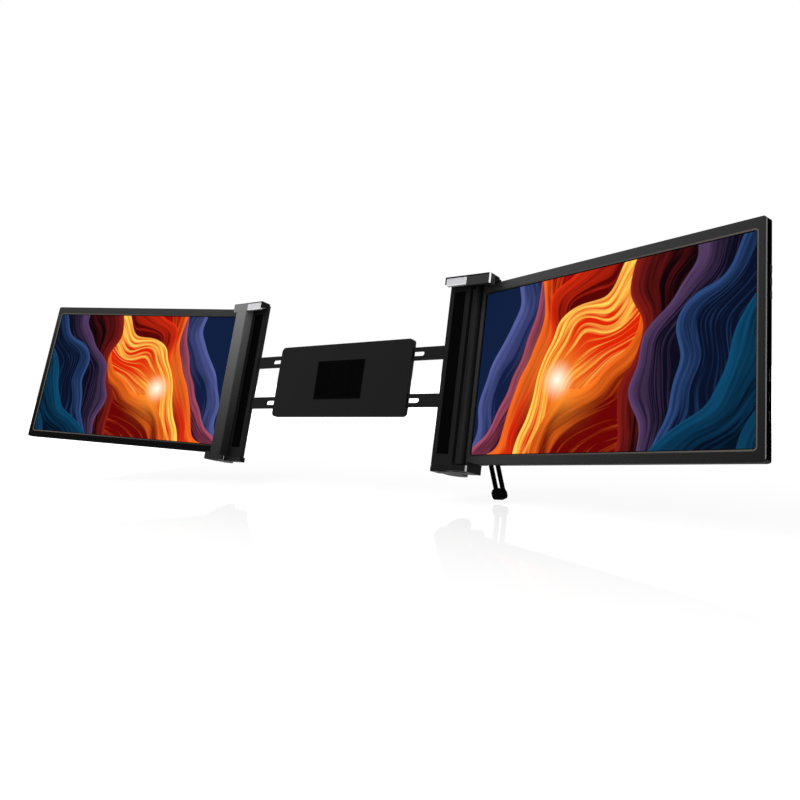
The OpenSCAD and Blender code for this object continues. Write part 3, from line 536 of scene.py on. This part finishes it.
def bezel_painted_light(side):
    """Grey painted with light and shade that change slowly over the front, lighter towards the top."""
    middle, across, up = BEZEL_PAINTED_LIGHT[side]

    def colour(tree):
        spot = screen_place(tree, side)
        slope = math(tree, "MULTIPLY_ADD", spot["X"], across, middle)
        return level_grey(tree, math(tree, "MULTIPLY_ADD", spot["Z"], up, slope))
    return colour


def lip_painted_light(side):
    """The lip's warm grey as a painted highlight, which fades as painted shade into the bezel's grey towards
    the hinge.
    """
    finish = bpy.context.scene.extender_finish
    hinge_end, free_end = -1.0, 0.9

    def colour(tree):
        reach = math(tree, "MULTIPLY", screen_place(tree, side)["X"], outward_sign(side))
        shown = between(tree, reach, hinge_end, free_end)
        return blend(tree, shown, rgba(finish.lip_shaded), rgba(finish.lip))
    return colour


def barrel_painted_sheen(side):
    """Black that lifts to a painted sheen, a dark painted highlight along the middle of the barrel's front.
    """
    low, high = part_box(side + "_hinge_pin")
    turn = display_place(side)[1]
    black, painted_sheen = 0.04, 0.27
    rise_start, rise_end, fall_start, fall_end = -0.0120, 0.0020, 0.0095, 0.0145

    def colour(tree):
        across = parts_of(tree, own_place(tree, (low + high) / 2, turn))["X"]
        reach = math(tree, "MULTIPLY", across, outward_sign(side))
        rise, fall = between(tree, reach, rise_start, rise_end), between(tree, reach, fall_end, fall_start)
        lit = math(tree, "MULTIPLY", rise, fall)
        return level_grey(tree, math(tree, "MULTIPLY_ADD", lit, painted_sheen, black))
    return colour


def post_painted_light(tree):
    """Grey that deepens steadily from the left cap down the post: painted light at the top and painted shade
    lower down.
    """
    low_level, high_level, edge_shade, hook_shade = 0.14, 0.50, 0.6, 0.1
    edge_low, edge_high, hook_step = 0.0010, 0.0007, 0.0004
    lowest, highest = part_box("left_bottom_cap")[0].z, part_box("left_top_cap")[1].z
    inner_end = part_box("left_hook_pad")[1].x
    place = parts_of(tree, object_place(tree))
    level = between(tree, place["Z"], lowest, highest, low_level, high_level)
    at_roof = between(tree, place["Z"], highest - edge_low, highest - edge_high, 1.0, edge_shade)
    over_hook = between(tree, place["X"], inner_end, inner_end + hook_step, 1.0, hook_shade)
    shade = math(tree, "MULTIPLY", at_roof, over_hook)
    return level_grey(tree, math(tree, "MULTIPLY", level, shade))


def hood_colour(tree):
    """Dark grey, painted as shade on the right cap, with a black edge along the roof and over the hook."""
    finish = bpy.context.scene.extender_finish
    hook_edge, roof_edge, step = 0.0002, 0.0013, 0.0004
    hook_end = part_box("right_hook_pad")[0].x + hook_edge
    roof_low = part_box("right_top_cap")[1].z - roof_edge
    place = parts_of(tree, object_place(tree))
    over_hook = between(tree, place["X"], hook_end + step, hook_end)
    at_roof = between(tree, place["Z"], roof_low - step, roof_low)
    dark = math(tree, "MAXIMUM", over_hook, at_roof)
    return blend(tree, dark, rgba(finish.right_cap), rgba(finish.hood))


def make_materials():
    finish = bpy.context.scene.extender_finish
    # name, colour, roughness, specular level, grains per metre, depth of the grain and shift of tone
    matt = {
        "casing": ("moulded casing", finish.casing, 0.6, 0.1, 2600.0, 0.00003),
        "side": ("side black", finish.side, 0.7, 0.0, 2600.0, 0.00001),
        "seam": ("seam highlight", finish.seam, 0.45, 0.06, 2600.0, 0.00001),
        "edge": ("painted edge highlight", finish.edge, 0.4, 0.1, 3200.0, 0.000006, 0.05),
        "left_cap": ("left cap painted light", post_painted_light, 0.5, 0.08, 2600.0, 0.000012, 0.05),
        "right_cap": ("right cap painted shade", hood_colour, 0.5, 0.06, 2600.0, 0.000012),
        "low_cap": ("low cap painted shade", finish.low_cap, 0.5, 0.06, 2600.0, 0.000012),
        "rod": ("rod paint", finish.rod, 0.6, 0.01, 2600.0, 0.00001),
        "rubber": ("black rubber", finish.rubber, 0.75, 0.02, 1500.0, 0.00005),
        "silicone": ("white silicone", finish.silicone, 0.42, 0.2, 900.0, 0.00002, 0.03),
        "hollow": ("shaded silicone", finish.hollow, 0.42, 0.2, 900.0, 0.00002, 0.03),
        "board": ("solder mask", finish.board, 0.35, 0.5, 600.0, 0.00004, 0.3),
    }
    for side, satin in (("left", 0.04), ("right", 0.06)):
        matt.update({
            side + "_lip": (side + " lip painted highlight", lip_painted_light(side), 0.4, 0.1, 3200.0, 0.000006, 0.05),
            side + "_bezel": (side + " bezel satin", bezel_painted_light(side), 0.5, satin, 3200.0, 0.000012, 0.05),
            side + "_barrel": (side + " barrel black", barrel_painted_sheen(side), 0.5, 0.04, 3000.0, 0.00001),
        })
    bare = {"trim": "bright chamfer", "dull_trim": "shaded chamfer", "steel": "brushed steel",
            "screw": "blackened steel"}
    made = {key: grained(*numbers) for key, numbers in matt.items()}
    made.update((key, brushed(name, getattr(finish, key))) for key, name in bare.items())
    return made


MATERIALS = {}


def finish_of(name):
    if not MATERIALS:
        MATERIALS.update(make_materials())
    return MATERIALS[name]


# ---- the pictures ----

ORIGIN = (0.0, 0.0, 0.0)
BLACK = (0.0, 0.0, 0.0, 1.0)
WHITE = (1.0, 1.0, 1.0, 1.0)


def make_fold_group():
    """One lit fold laid over a colour: bright along its rim, deep behind it, with streaks along the rim."""
    group, given, made = start_group(
        "silk fold",
        {"Vector": ORIGIN, "Under": BLACK, "Rim": WHITE, "Deep": BLACK, "Swing": 0.2, "Pace": 2.0,
         "Phase": 0.0, "Reach": 0.6, "Streaks": 0.3, "Streak pace": 14.0},
        {"Color": "Color"})
    small_pace, small_swing, rim_width, slant = 2.3, 0.3, 0.006, 1.1
    spot = parts_of(group, given["Vector"])
    along = math(group, "MULTIPLY_ADD", spot["Z"], given["Pace"], given["Phase"])
    small = math(group, "SINE", math(group, "MULTIPLY", along, small_pace))
    wave = math(group, "MULTIPLY_ADD", small, small_swing, math(group, "SINE", along))
    inside = math(group, "SUBTRACT", spot["X"], math(group, "MULTIPLY", wave, given["Swing"]))
    mask = between(group, inside, -rim_width, rim_width)
    depth = math(group, "POWER", math(group, "DIVIDE", inside, given["Reach"], clamp=True), 0.5)
    line = add_node(group, "CombineXYZ",
                    {"X": math(group, "MULTIPLY", inside, given["Streak pace"]), "Y": given["Phase"],
                     "Z": math(group, "MULTIPLY", spot["Z"], slant)}).outputs[0]
    streaks = noise(group, line, 1.0, 2.5, distortion=0.25)["Fac"]
    spread = between(group, streaks, 0.3, 0.7, -1.0, 1.0)
    shade = math(group, "MULTIPLY_ADD", spread, given["Streaks"], depth, clamp=True)
    fold = blend(group, shade, given["Rim"], given["Deep"])
    connect(group, made, {"Color": blend(group, mask, given["Under"], fold)})
    arrange(group)
    return group


# Each fold of the invented picture, in half heights of it: turn in degrees, place across, rim colour,
# deep colour, swing, pace, phase, reach, streaks and streak pace.
FOLDS = (
    (14, -1.56, (0.10, 0.12, 0.36), (0.004, 0.010, 0.045), 0.10, 2.1, 0.4, 0.40, 0.22, 18.0),
    (22, -1.24, (0.36, 0.07, 0.12), (0.030, 0.002, 0.012), 0.15, 1.7, 1.9, 0.34, 0.30, 22.0),
    (28, -1.02, (1.00, 0.16, 0.015), (0.30, 0.001, 0.0), 0.20, 1.9, 3.4, 0.30, 0.34, 16.0),
    (34, -0.74, (0.80, 0.03, 0.004), (0.09, 0.0, 0.0), 0.20, 2.3, 4.3, 0.40, 0.30, 18.0),
    (36, -0.44, (1.00, 0.62, 0.09), (0.66, 0.014, 0.0), 0.22, 2.2, 5.2, 0.55, 0.66, 19.0),
    (30, 0.02, (1.00, 0.17, 0.012), (0.13, 0.0, 0.0), 0.24, 1.8, 0.6, 0.34, 0.36, 16.0),
    (22, 0.36, (0.26, 0.012, 0.008), (0.004, 0.0, 0.001), 0.20, 2.0, 2.6, 0.34, 0.22, 22.0),
    (14, 0.70, (0.11, 0.055, 0.15), (0.002, 0.002, 0.010), 0.18, 2.3, 4.4, 0.32, 0.30, 30.0),
    (24, 1.02, (0.03, 0.08, 0.24), (0.001, 0.004, 0.018), 0.16, 2.1, 3.1, 0.30, 0.30, 24.0),
    (32, 1.32, (0.003, 0.065, 0.15), (0.0, 0.004, 0.014), 0.18, 1.9, 5.9, 0.45, 0.26, 20.0),
    (40, 1.74, (0.004, 0.06, 0.13), (0.0, 0.003, 0.010), 0.14, 2.4, 1.2, 0.40, 0.22, 18.0),
)


def make_picture_group():
    """An invented picture: lit folds that run from blue through fire into deep blue, with one small glow."""
    group, given, made = start_group("folded light", {"Vector": ORIGIN, "Glow": ORIGIN}, {"Color": "Color"})
    numbers_of_fold = ("Swing", "Pace", "Phase", "Reach", "Streaks", "Streak pace")
    place = given["Vector"]
    drift = noise(group, place, 0.9, 1.0)["Color"]
    centred = vector_math(group, "SUBTRACT", drift, (0.5, 0.5, 0.5))[0]
    pushed = vector_math(group, "MULTIPLY_ADD", centred, (0.9, 0.0, 0.9), place)[0]
    colour = (0.004, 0.012, 0.045, 1.0)
    for turn, across, rim, deep, *numbers in FOLDS:
        moved = add_node(group, "Mapping", {
            "Vector": pushed, "Rotation": (0.0, radians(-turn), 0.0), "Location": (-across, 0.0, 0.0)})
        colour = use_group(group, "fold", {
            "Vector": moved.outputs[0], "Under": colour, "Rim": rgba(rim), "Deep": rgba(deep),
            **dict(zip(numbers_of_fold, numbers))})["Color"]
    away = vector_math(group, "DISTANCE", place, given["Glow"])["Value"]
    halo_reach, core_reach = 0.85, 0.26
    halo = math(group, "POWER", between(group, away, halo_reach, 0.0), 3.0)
    core = math(group, "POWER", between(group, away, core_reach, 0.0), 1.7)
    lit = blend(group, math(group, "MULTIPLY", halo, 0.9), colour, (1.0, 0.42, 0.04, 1.0))
    connect(group, made, {"Color": blend(group, core, lit, (1.0, 0.97, 0.8, 1.0))})
    arrange(group)
    return group


def picture_material(side):
    """A dark display surface that shines with the picture inside its black border."""
    picture = bpy.context.scene.extender_picture
    material, tree, shader = start_material(side + " picture")
    local = own_place(tree, *display_place(side), (picture.height / 2,) * 3)
    mirrored = add_node(tree, "Mapping", {"Vector": local, "Scale": (outward_sign(side), 1.0, 1.0)})
    folds = use_group(tree, "picture", {"Vector": mirrored.outputs[0], "Glow": picture.glow})
    spot = parts_of(tree, local)
    in_width = math(tree, "LESS_THAN", math(tree, "ABSOLUTE", spot["X"]), picture.width / picture.height)
    in_height = math(tree, "LESS_THAN", math(tree, "ABSOLUTE", spot["Z"]), 1.0)
    at_front = math(tree, "LESS_THAN", spot["Y"], 0.001)
    shown = math(tree, "MULTIPLY", math(tree, "MULTIPLY", in_width, in_height), at_front)
    connect(tree, shader, {
        "Emission Color": blend(tree, shown, BLACK, folds["Color"]), "Emission Strength": picture.brightness,
        "Base Color": (0.002, 0.002, 0.0025, 1.0), "Roughness": 0.3, "Specular IOR Level": 0.0})
    arrange(tree)
    return material


# ---- operators ----

class ExtenderOperator:
    bl_options = {"REGISTER", "UNDO"}

    def execute(self, context):
        self.make(context.scene)
        return {"FINISHED"}


class EXTENDER_OT_light_pictures(ExtenderOperator, bpy.types.Operator):
    """Show the invented picture on both display panels"""
    bl_idname = "extender.light_pictures"
    bl_label = "Light the pictures"

    def make(self, scene):
        for side in SIDES:
            paint(side + "_display_panel", picture_material(side))


class EXTENDER_OT_make_bezels(ExtenderOperator, bpy.types.Operator):
    """Shape the lips round the windows of the bezels and give their outer edges a painted highlight"""
    bl_idname = "extender.make_bezels"
    bl_label = "Make the bezels"

    def make(self, scene):
        for side in SIDES:
            piece = copy_of_node(side + "_bezel", side + "_bezel_frame")
            front, outward = screen_directions(side)
            nearest = max(vertex.co.dot(front) for vertex in piece.data.vertices)
            self.make_lip(piece, side, scene, front, nearest)
            hand_over(piece, side + "_bezel", "bezel", side + "_bezel", side + "_lip", "edge", "side")
            self.finish_faces(piece, side, scene, front, outward, nearest)

    def near_picture(self, side, scene, margin):
        """A test for points over the picture or within a margin round it, seen from the front."""
        centre = display_place(side)[0]
        along = screen_directions(side)[1]
        picture = scene.extender_picture
        half_width, half_height = picture.width / 2 + margin, picture.height / 2 + margin
        return lambda point: (abs((point - centre).dot(along)) < half_width
                              and abs(point.z - centre.z) < half_height)

    def make_lip(self, piece, side, scene, front, nearest):
        """Insets the front face and lowers the edge of the window a little."""
        shape = scene.extender_shape
        at_front = [vertex.co.dot(front) > nearest - TOUCH for vertex in piece.data.vertices]
        select_faces(piece, lambda face: all(at_front[i] for i in face.vertices))
        bpy.ops.mesh.inset(thickness=shape.lip_width, depth=0)
        leave_edit()
        on_window = self.near_picture(side, scene, WINDOW_MARGIN)
        select_edges(piece, lambda *ends: all(
            end.dot(front) > nearest - TOUCH and on_window(end) for end in ends))
        bpy.ops.transform.translate(value=-shape.lip_drop * front)
        leave_edit()

    def finish_faces(self, piece, side, scene, front, outward, nearest):
        """Gives the lip, the slanted free edge and the free end their own finishes: the lip and the slanted
        free edge take painted highlights.
        """
        shape = scene.extender_shape
        lowest = nearest - shape.lip_drop - APART
        lip_turn = 2 * shape.lip_drop / shape.lip_width
        on_lip = self.near_picture(side, scene, shape.lip_width + LIP_MARGIN)
        for face in piece.data.polygons:
            ahead, out = face.normal.dot(front), face.normal.dot(outward)
            corners = (piece.data.vertices[i].co for i in face.vertices)
            if ahead > cos(lip_turn) and face.center.dot(front) > lowest and all(map(on_lip, corners)):
                face.material_index = 1
            elif LEANS < ahead < FACES and out > LEANS:
                face.material_index = 2
            elif out > 0.8:
                face.material_index = 3


class EXTENDER_OT_make_covers(ExtenderOperator, bpy.types.Operator):
    """Round the moulded edges of the rear covers, the frame, the arms and the buttons"""
    bl_idname = "extender.make_covers"
    bl_label = "Make the moulded covers"

    def make(self, scene):
        slots = dict.fromkeys(("frame_housing", "frame_cover", "left_arm", "right_arm"), "casing")
        for side in SIDES:
            slots[side + "_rear_cover"] = "casing"
            for button in BUTTONS:
                slots[side + "_" + button + "_button"] = "dark_plastic"
        for node, slot in slots.items():
            piece = copy_of_node(node, node + "_moulding")
            soften(piece, scene.extender_shape.moulded_edge)
            if node.endswith("rear_cover"):
                hand_over(piece, node, slot, "casing", "side", "seam")
                self.darken_side(piece, *screen_directions(node.split("_")[0]))
            else:
                hand_over(piece, node, slot, "casing")

    def darken_side(self, piece, front, outward):
        """Makes the free end black, with a fine painted highlight as a lit line where it meets the bezel."""
        for face in piece.data.polygons:
            out = face.normal.dot(outward)
            if out > 0.9:
                face.material_index = 1
            elif out > LEANS and face.normal.dot(front) > LEANS:
                face.material_index = 2


class EXTENDER_OT_make_barrels(ExtenderOperator, bpy.types.Operator):
    """Shape the hinge barrels, with the right one's front swept over to its bezel"""
    bl_idname = "extender.make_barrels"
    bl_label = "Make the hinge barrels"

    def make(self, scene):
        for side in SIDES:
            piece = copy_of_node(side + "_hinge_barrel", side + "_barrel_profile")
            if side == "right":
                self.sweep_front(piece, scene.extender_shape)
            hand_over(piece, side + "_hinge_barrel", "barrel", side + "_barrel")

    def sweep_front(self, piece, shape):
        """Fills the front from the round barrel to the bezel's edge with one rounded surface."""
        seam, end_inset, barrel_wall, rounding = 0.0001, 0.0004, 0.0010, 0.0022
        axis, washer_radius = hinge_axis("right")
        radius = washer_radius + barrel_wall - seam
        turn = display_place("right")[1]
        front, outward = screen_directions("right")
        bezel = [vertex.co for vertex in frame["nodes"]["right_bezel"].data.vertices]
        bezel_front = axis.dot(front) - max(point.dot(front) for point in bezel)
        bezel_start = min((point - axis).dot(outward) for point in bezel)
        bezel_low, bezel_high = (corner.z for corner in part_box("right_bezel"))
        barrel_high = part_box("right_hinge_barrel")[1].z
        origin = Vector()
        low, high = bezel_low + end_inset, bezel_high - end_inset
        fairing = add_rod("fairing", radius, origin, low, high, vertices=72)
        select_faces(fairing, lambda face: face.normal.x > 0.02 and abs(face.normal.z) < 0.5)
        # first a broad belly, then a steeper fall to the bezel's front: each with its place, front and back
        belly = radius + 0.0006, -shape.barrel_belly, 0.0030
        rim = bezel_start - seam, bezel_front + 0.0005, 0.0015
        for place, ahead, behind in (belly, rim):
            nearest, furthest = self.depth_of_selection(fairing)
            share = (behind - ahead) / (furthest - nearest)
            pivot = (ahead + behind - share * (nearest + furthest)) / 2 / (1 - share)
            bpy.ops.mesh.extrude_region_move()
            bpy.ops.transform.resize(value=(0, share, 1), center_override=(place, pivot, 0))
        leave_edit()
        soften(fairing, rounding, segments=4, angle=12.0)
        # the cap's boss needs room over the barrel
        boss = add_rod("boss", radius + rounding, origin, barrel_high - 0.0006, bezel_high + 0.001)
        combine(fairing, boss, "DIFFERENCE")
        fairing.location = (axis.x, axis.y, 0)
        fairing.rotation_euler = (0, 0, turn)
        settle(fairing)
        combine(piece, fairing, "UNION")
        pin_low, pin_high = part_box("right_hinge_pin")
        pin_radius = (pin_high.x - pin_low.x) / 2
        bore = add_rod("bore", pin_radius + seam, axis, 2 * pin_low.z, 2 * pin_high.z, vertices=64)
        combine(piece, bore, "DIFFERENCE")

    def depth_of_selection(self, piece):
        """The least and the greatest Y of the selected faces."""
        leave_edit()
        depths = [vertex.co.y for vertex in piece.data.vertices if vertex.select]
        bpy.ops.object.mode_set(mode="EDIT")
        return min(depths), max(depths)


class EXTENDER_OT_make_leg(ExtenderOperator, bpy.types.Operator):
    """Round the leg's rods and mould its rubber foot"""
    bl_idname = "extender.make_leg"
    bl_label = "Make the leg"

    def make(self, scene):
        shape = scene.extender_shape
        rods = copy_of_node("leg_rods", "leg_rod_pair")
        soften(rods, shape.moulded_edge)
        hand_over(rods, "leg_rods", "barrel", "rod")
        foot = copy_of_node("leg_foot", "leg_rubber_foot")
        remesh = foot.modifiers.new("rubber grid", "REMESH")
        remesh.mode = "VOXEL"
        remesh.voxel_size = shape.rubber_grid
        relax = foot.modifiers.new("soft corners", "SMOOTH")
        relax.factor = 0.5
        relax.iterations = 7
        apply_modifiers(foot)
        hand_over(foot, "leg_foot", "rubber", "rubber")


class EXTENDER_OT_make_caps(ExtenderOperator, bpy.types.Operator):
    """Round the edges of the four caps and brighten the chamfers of the right ones"""
    bl_idname = "extender.make_caps"
    bl_label = "Make the caps"

    def make(self, scene):
        finishes = {"left_top_cap": ["left_cap"], "left_bottom_cap": ["left_cap"],
                    "right_top_cap": ["right_cap", "trim"], "right_bottom_cap": ["low_cap", "dull_trim"]}
        slant = Vector((1, -1, 0)).normalized()
        for node, names in finishes.items():
            piece = copy_of_node(node, node + "_cast")
            if node.endswith("bottom_cap"):
                self.raise_wall(piece, node)
            if node == "right_top_cap":
                self.widen_roof(piece)
            soften(piece, scene.extender_shape.cast_edge)
            hand_over(piece, node, "cap_metal", *names)
            if "right" in node:
                use_second_finish(piece, lambda face: face.normal.dot(slant) > 0.99)

    def raise_wall(self, piece, node):
        """Closes the view between the cap and the screen with a low wall on the cap's outer end."""
        wall, screen_gap, post_gap = 0.0025, 0.0006, 0.0002
        low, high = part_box(node)
        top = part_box("left_bezel")[0].z - screen_gap
        if node.startswith("left"):
            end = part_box("left_post")[0].x - post_gap
            corners = (low.x, low.y, high.z - wall), (end, low.y + wall, top)
        else:
            back = max(v.co.y for v in piece.data.vertices if v.co.x > high.x - TOUCH)
            corners = (high.x - wall, low.y + wall, high.z - wall), (high.x, back, top)
        combine(piece, add_box("wall", *corners), "UNION")

    def widen_roof(self, piece):
        """Carries the roof over the corner between the hinge and the cap's side."""
        end_inset, cut_back = 0.0025, 0.0110
        axis = hinge_axis("right")[0]
        cap_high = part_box("right_top_cap")[1]
        start = Vector((axis.x, 0.0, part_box("right_hook_pad")[1].z))
        end = Vector((cap_high.x - end_inset, axis.y, cap_high.z))
        corner = add_box("roof corner", start, end)
        # the back edge runs beside the screen, so its outer end is drawn back
        select_edges(corner, lambda *points: all(
            point.x > end.x - TOUCH and point.y > end.y - TOUCH for point in points))
        bpy.ops.transform.translate(value=(0, -cut_back, 0))
        leave_edit()
        combine(piece, corner, "UNION")


class EXTENDER_OT_make_post(ExtenderOperator, bpy.types.Operator):
    """Finish the post under the left cap"""
    bl_idname = "extender.make_post"
    bl_label = "Make the post"

    def make(self, scene):
        piece = copy_of_node("left_post", "left_post_profile")
        soften(piece, scene.extender_shape.cast_edge)
        hand_over(piece, "left_post", "post_metal", "left_cap")


class EXTENDER_OT_make_pads(ExtenderOperator, bpy.types.Operator):
    """Mould the silicone pads under both hooks"""
    bl_idname = "extender.make_pads"
    bl_label = "Make the hook pads"

    def make(self, scene):
        for side in SIDES:
            self.make_pad(side, scene.extender_shape)

    def make_pad(self, side, shape):
        overlap, side_gap = 0.0005, shape.pad_edge
        node = side + "_hook_pad"
        points = [vertex.co for vertex in frame["nodes"][node].data.vertices]
        low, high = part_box(node)
        back = min(point.y for point in points if point.y > low.y + APART)
        step = max(point.z for point in points if point.z < high.z - APART)
        piece = add_box(side + "_hook_cushion", low, (high.x, back, high.z))
        select_edges(piece, lambda start, end: abs(start.y - end.y) > APART)
        bpy.ops.mesh.bevel(offset=shape.pad_edge, segments=4, affect="EDGES")
        leave_edit()
        # the block over the lid's edge grows out of the lip's upper back
        over = add_box("over", (low.x + side_gap, back - overlap, step),
                       (high.x - side_gap, high.y, high.z - overlap))
        combine(piece, over, "UNION")
        join_flats(piece)
        select_faces(piece, lambda face: face.normal.y < -0.9)
        bpy.ops.mesh.inset(thickness=shape.pad_rim, depth=0)
        bpy.ops.mesh.inset(thickness=shape.pad_hollow, depth=-shape.pad_hollow)
        leave_edit()
        hand_over(piece, node, "silicone", "silicone", "hollow")
        # the hollow takes a greyer silicone as painted shade in the recess
        use_second_finish(piece, lambda face: face.normal.y < -0.9
                          and face.center.y > low.y + shape.pad_hollow / 2)


class EXTENDER_OT_paint_frame(ExtenderOperator, bpy.types.Operator):
    """Finish the small parts of the frame, the arms, the screens and the leg that stay as they are"""
    bl_idname = "extender.paint_frame"
    bl_label = "Paint the frame"

    def make(self, scene):
        # SIDE stands for left and for right
        finishes = {
            "rubber": ("arm_brakes", "lid_seat_pad", "SIDE_seat_strip", "SIDE_hinge_washers"),
            "silicone": ("SIDE_foot_pad",),
            "screw": ("frame_screws", "leg_bracket", "leg_pin", "SIDE_clamp_screws", "SIDE_cover_screws",
                      "SIDE_hinge_screws", "SIDE_hinge_pin"),
            "steel": ("SIDE_backlight_tray", "SIDE_port_shells"),
            "board": ("SIDE_driver_board",),
        }
        for finish, nodes in finishes.items():
            for side in SIDES:
                for node in nodes:
                    paint(node.replace("SIDE", side), finish_of(finish))


class EXTENDER_OT_make_stage(ExtenderOperator, bpy.types.Operator):
    """Set up the floor, the lamps, the white surroundings and the camera"""
    bl_idname = "extender.make_stage"
    bl_label = "Make the stage"

    def make(self, scene):
        stage = scene.extender_stage
        self.make_floor(stage)
        self.make_world(scene)
        for name, place, power, size in (
                ("key", (-0.25, -1.25, 1.15), stage.key_power, 1.4),
                ("left fill", (-1.5, -0.7, 0.5), stage.fill_power, 1.2),
                ("right fill", (1.7, -0.4, 0.6), stage.fill_power, 1.2),
                ("back light", (0.2, 1.5, 1.0), stage.fill_power, 1.4)):
            self.add_lamp(scene, name, place, power, size)
        self.make_camera(scene, stage)

    def make_floor(self, stage):
        low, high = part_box("leg_foot")
        spot = ((low.x + high.x) / 2, high.y, low.z - 0.0006)
        clear_selection()
        bpy.ops.mesh.primitive_plane_add(size=12, location=spot, rotation=(stage.floor_tilt, 0, 0))
        floor = bpy.context.object
        floor.name = "floor"
        floor.data.materials.append(self.floor_material())

    def mix(self, tree, share, first, second):
        return add_node(tree, "MixShader", {0: share, 1: first.outputs[0], 2: second.outputs[0]})

    def floor_material(self):
        """White to the camera, with a soft shadow and a mirror image that fades towards the front."""
        material = bpy.data.materials.new("white floor")
        tree = empty_tree(material)
        fade_end, fade_start, mirror_share, own_light = -0.30, 0.02, 0.2, 0.86
        mirrored = between(tree, parts_of(tree, object_place(tree))["Y"], fade_end, fade_start)
        matt = add_node(tree, "BsdfDiffuse", {"Color": (0.16, 0.16, 0.16, 1.0)})
        mirror = add_node(tree, "BsdfGlossy", {"Color": WHITE, "Roughness": 0.04})
        surface = self.mix(tree, math(tree, "MULTIPLY", mirrored, mirror_share), matt, mirror)
        path = add_node(tree, "LightPath").outputs
        seen = math(tree, "MAXIMUM", path["Is Camera Ray"], path["Is Glossy Ray"])
        # less light of its own where the mirror adds the white of the room
        glow = math(tree, "MULTIPLY_ADD", mirrored, -0.175, own_light)
        away = vector_math(tree, "LENGTH", object_place(tree))["Value"]
        glow = math(tree, "ADD", glow, between(tree, away, 0.6, 1.1))
        lift = add_node(tree, "Emission", {"Color": WHITE, "Strength": math(tree, "MULTIPLY", seen, glow)})
        both = add_node(tree, "AddShader", {0: surface.outputs[0], 1: lift.outputs[0]})
        # nothing is hidden in a view from under the floor
        below = add_node(tree, "NewGeometry").outputs["Backfacing"]
        shown = self.mix(tree, below, both, add_node(tree, "BsdfTransparent"))
        add_node(tree, "OutputMaterial", {"Surface": shown.outputs[0]})
        arrange(tree)
        return material

    def make_world(self, scene):
        """White to the camera and in reflections, and a plain soft light for the object."""
        scene.world = bpy.data.worlds.new("white room")
        tree = empty_tree(scene.world)
        path = add_node(tree, "LightPath").outputs
        mirrored = math(tree, "MAXIMUM", path["Is Glossy Ray"], path["Is Transmission Ray"])
        seen = math(tree, "MAXIMUM", path["Is Camera Ray"], mirrored)
        strength = between(tree, seen, 0.0, 1.0, 0.5, 1.0)
        sky = add_node(tree, "Background", {"Color": WHITE, "Strength": strength})
        add_node(tree, "OutputWorld", {"Surface": sky.outputs[0]})
        arrange(tree)

    def add_lamp(self, scene, name, place, power, size):
        """A square lamp that looks at the middle of the frame."""
        lamp = bpy.data.lights.new(name, "AREA")
        lamp.energy = power
        lamp.size = size
        holder = bpy.data.objects.new(name, lamp)
        holder.location = place
        holder.visible_glossy = False
        holder.rotation_euler = (-Vector(place)).to_track_quat("-Z", "Y").to_euler()
        scene.collection.objects.link(holder)

    def make_camera(self, scene, stage):
        lens = bpy.data.cameras.new("camera")
        lens.sensor_width = 36
        lens.lens = stage.lens
        lens.shift_y = stage.frame_shift
        lens.clip_start = 0.01
        lens.clip_end = 50
        camera = bpy.data.objects.new("camera", lens)
        camera.location = stage.camera_place
        camera.rotation_euler = stage.camera_turn
        scene.collection.objects.link(camera)
        scene.camera = camera
        scene.view_settings.view_transform = "Standard"


class VIEW3D_PT_extender(bpy.types.Panel):
    bl_label = "Screen extender"
    bl_idname = "VIEW3D_PT_extender"
    bl_space_type = "VIEW_3D"
    bl_region_type = "UI"
    bl_category = "Extender"

    def draw(self, context):
        for operator in OPERATORS:
            self.layout.operator(operator.bl_idname)
        for name in SETTINGS:
            group = getattr(context.scene, name)
            box = self.layout.box()
            for key in group.__annotations__:
                box.prop(group, key)


SETTINGS = {
    "extender_shape": ExtenderShape,
    "extender_finish": ExtenderFinish,
    "extender_picture": ExtenderPicture,
    "extender_stage": ExtenderStage,
}
OPERATORS = (
    EXTENDER_OT_paint_frame,
    EXTENDER_OT_light_pictures,
    EXTENDER_OT_make_bezels,
    EXTENDER_OT_make_covers,
    EXTENDER_OT_make_barrels,
    EXTENDER_OT_make_leg,
    EXTENDER_OT_make_caps,
    EXTENDER_OT_make_post,
    EXTENDER_OT_make_pads,
    EXTENDER_OT_make_stage,
)
CLASSES = (*SETTINGS.values(), *OPERATORS, VIEW3D_PT_extender)


def register():
    for kind in CLASSES:
        bpy.utils.register_class(kind)
    for name, kind in SETTINGS.items():
        setattr(bpy.types.Scene, name, bpy.props.PointerProperty(type=kind))


def unregister():
    for name in SETTINGS:
        delattr(bpy.types.Scene, name)
    for kind in reversed(CLASSES):
        bpy.utils.unregister_class(kind)


def main():
    register()
    for operator in OPERATORS:
        category, name = operator.bl_idname.split(".")
        getattr(getattr(bpy.ops, category), name)()


if __name__ == "__main__":
    main()
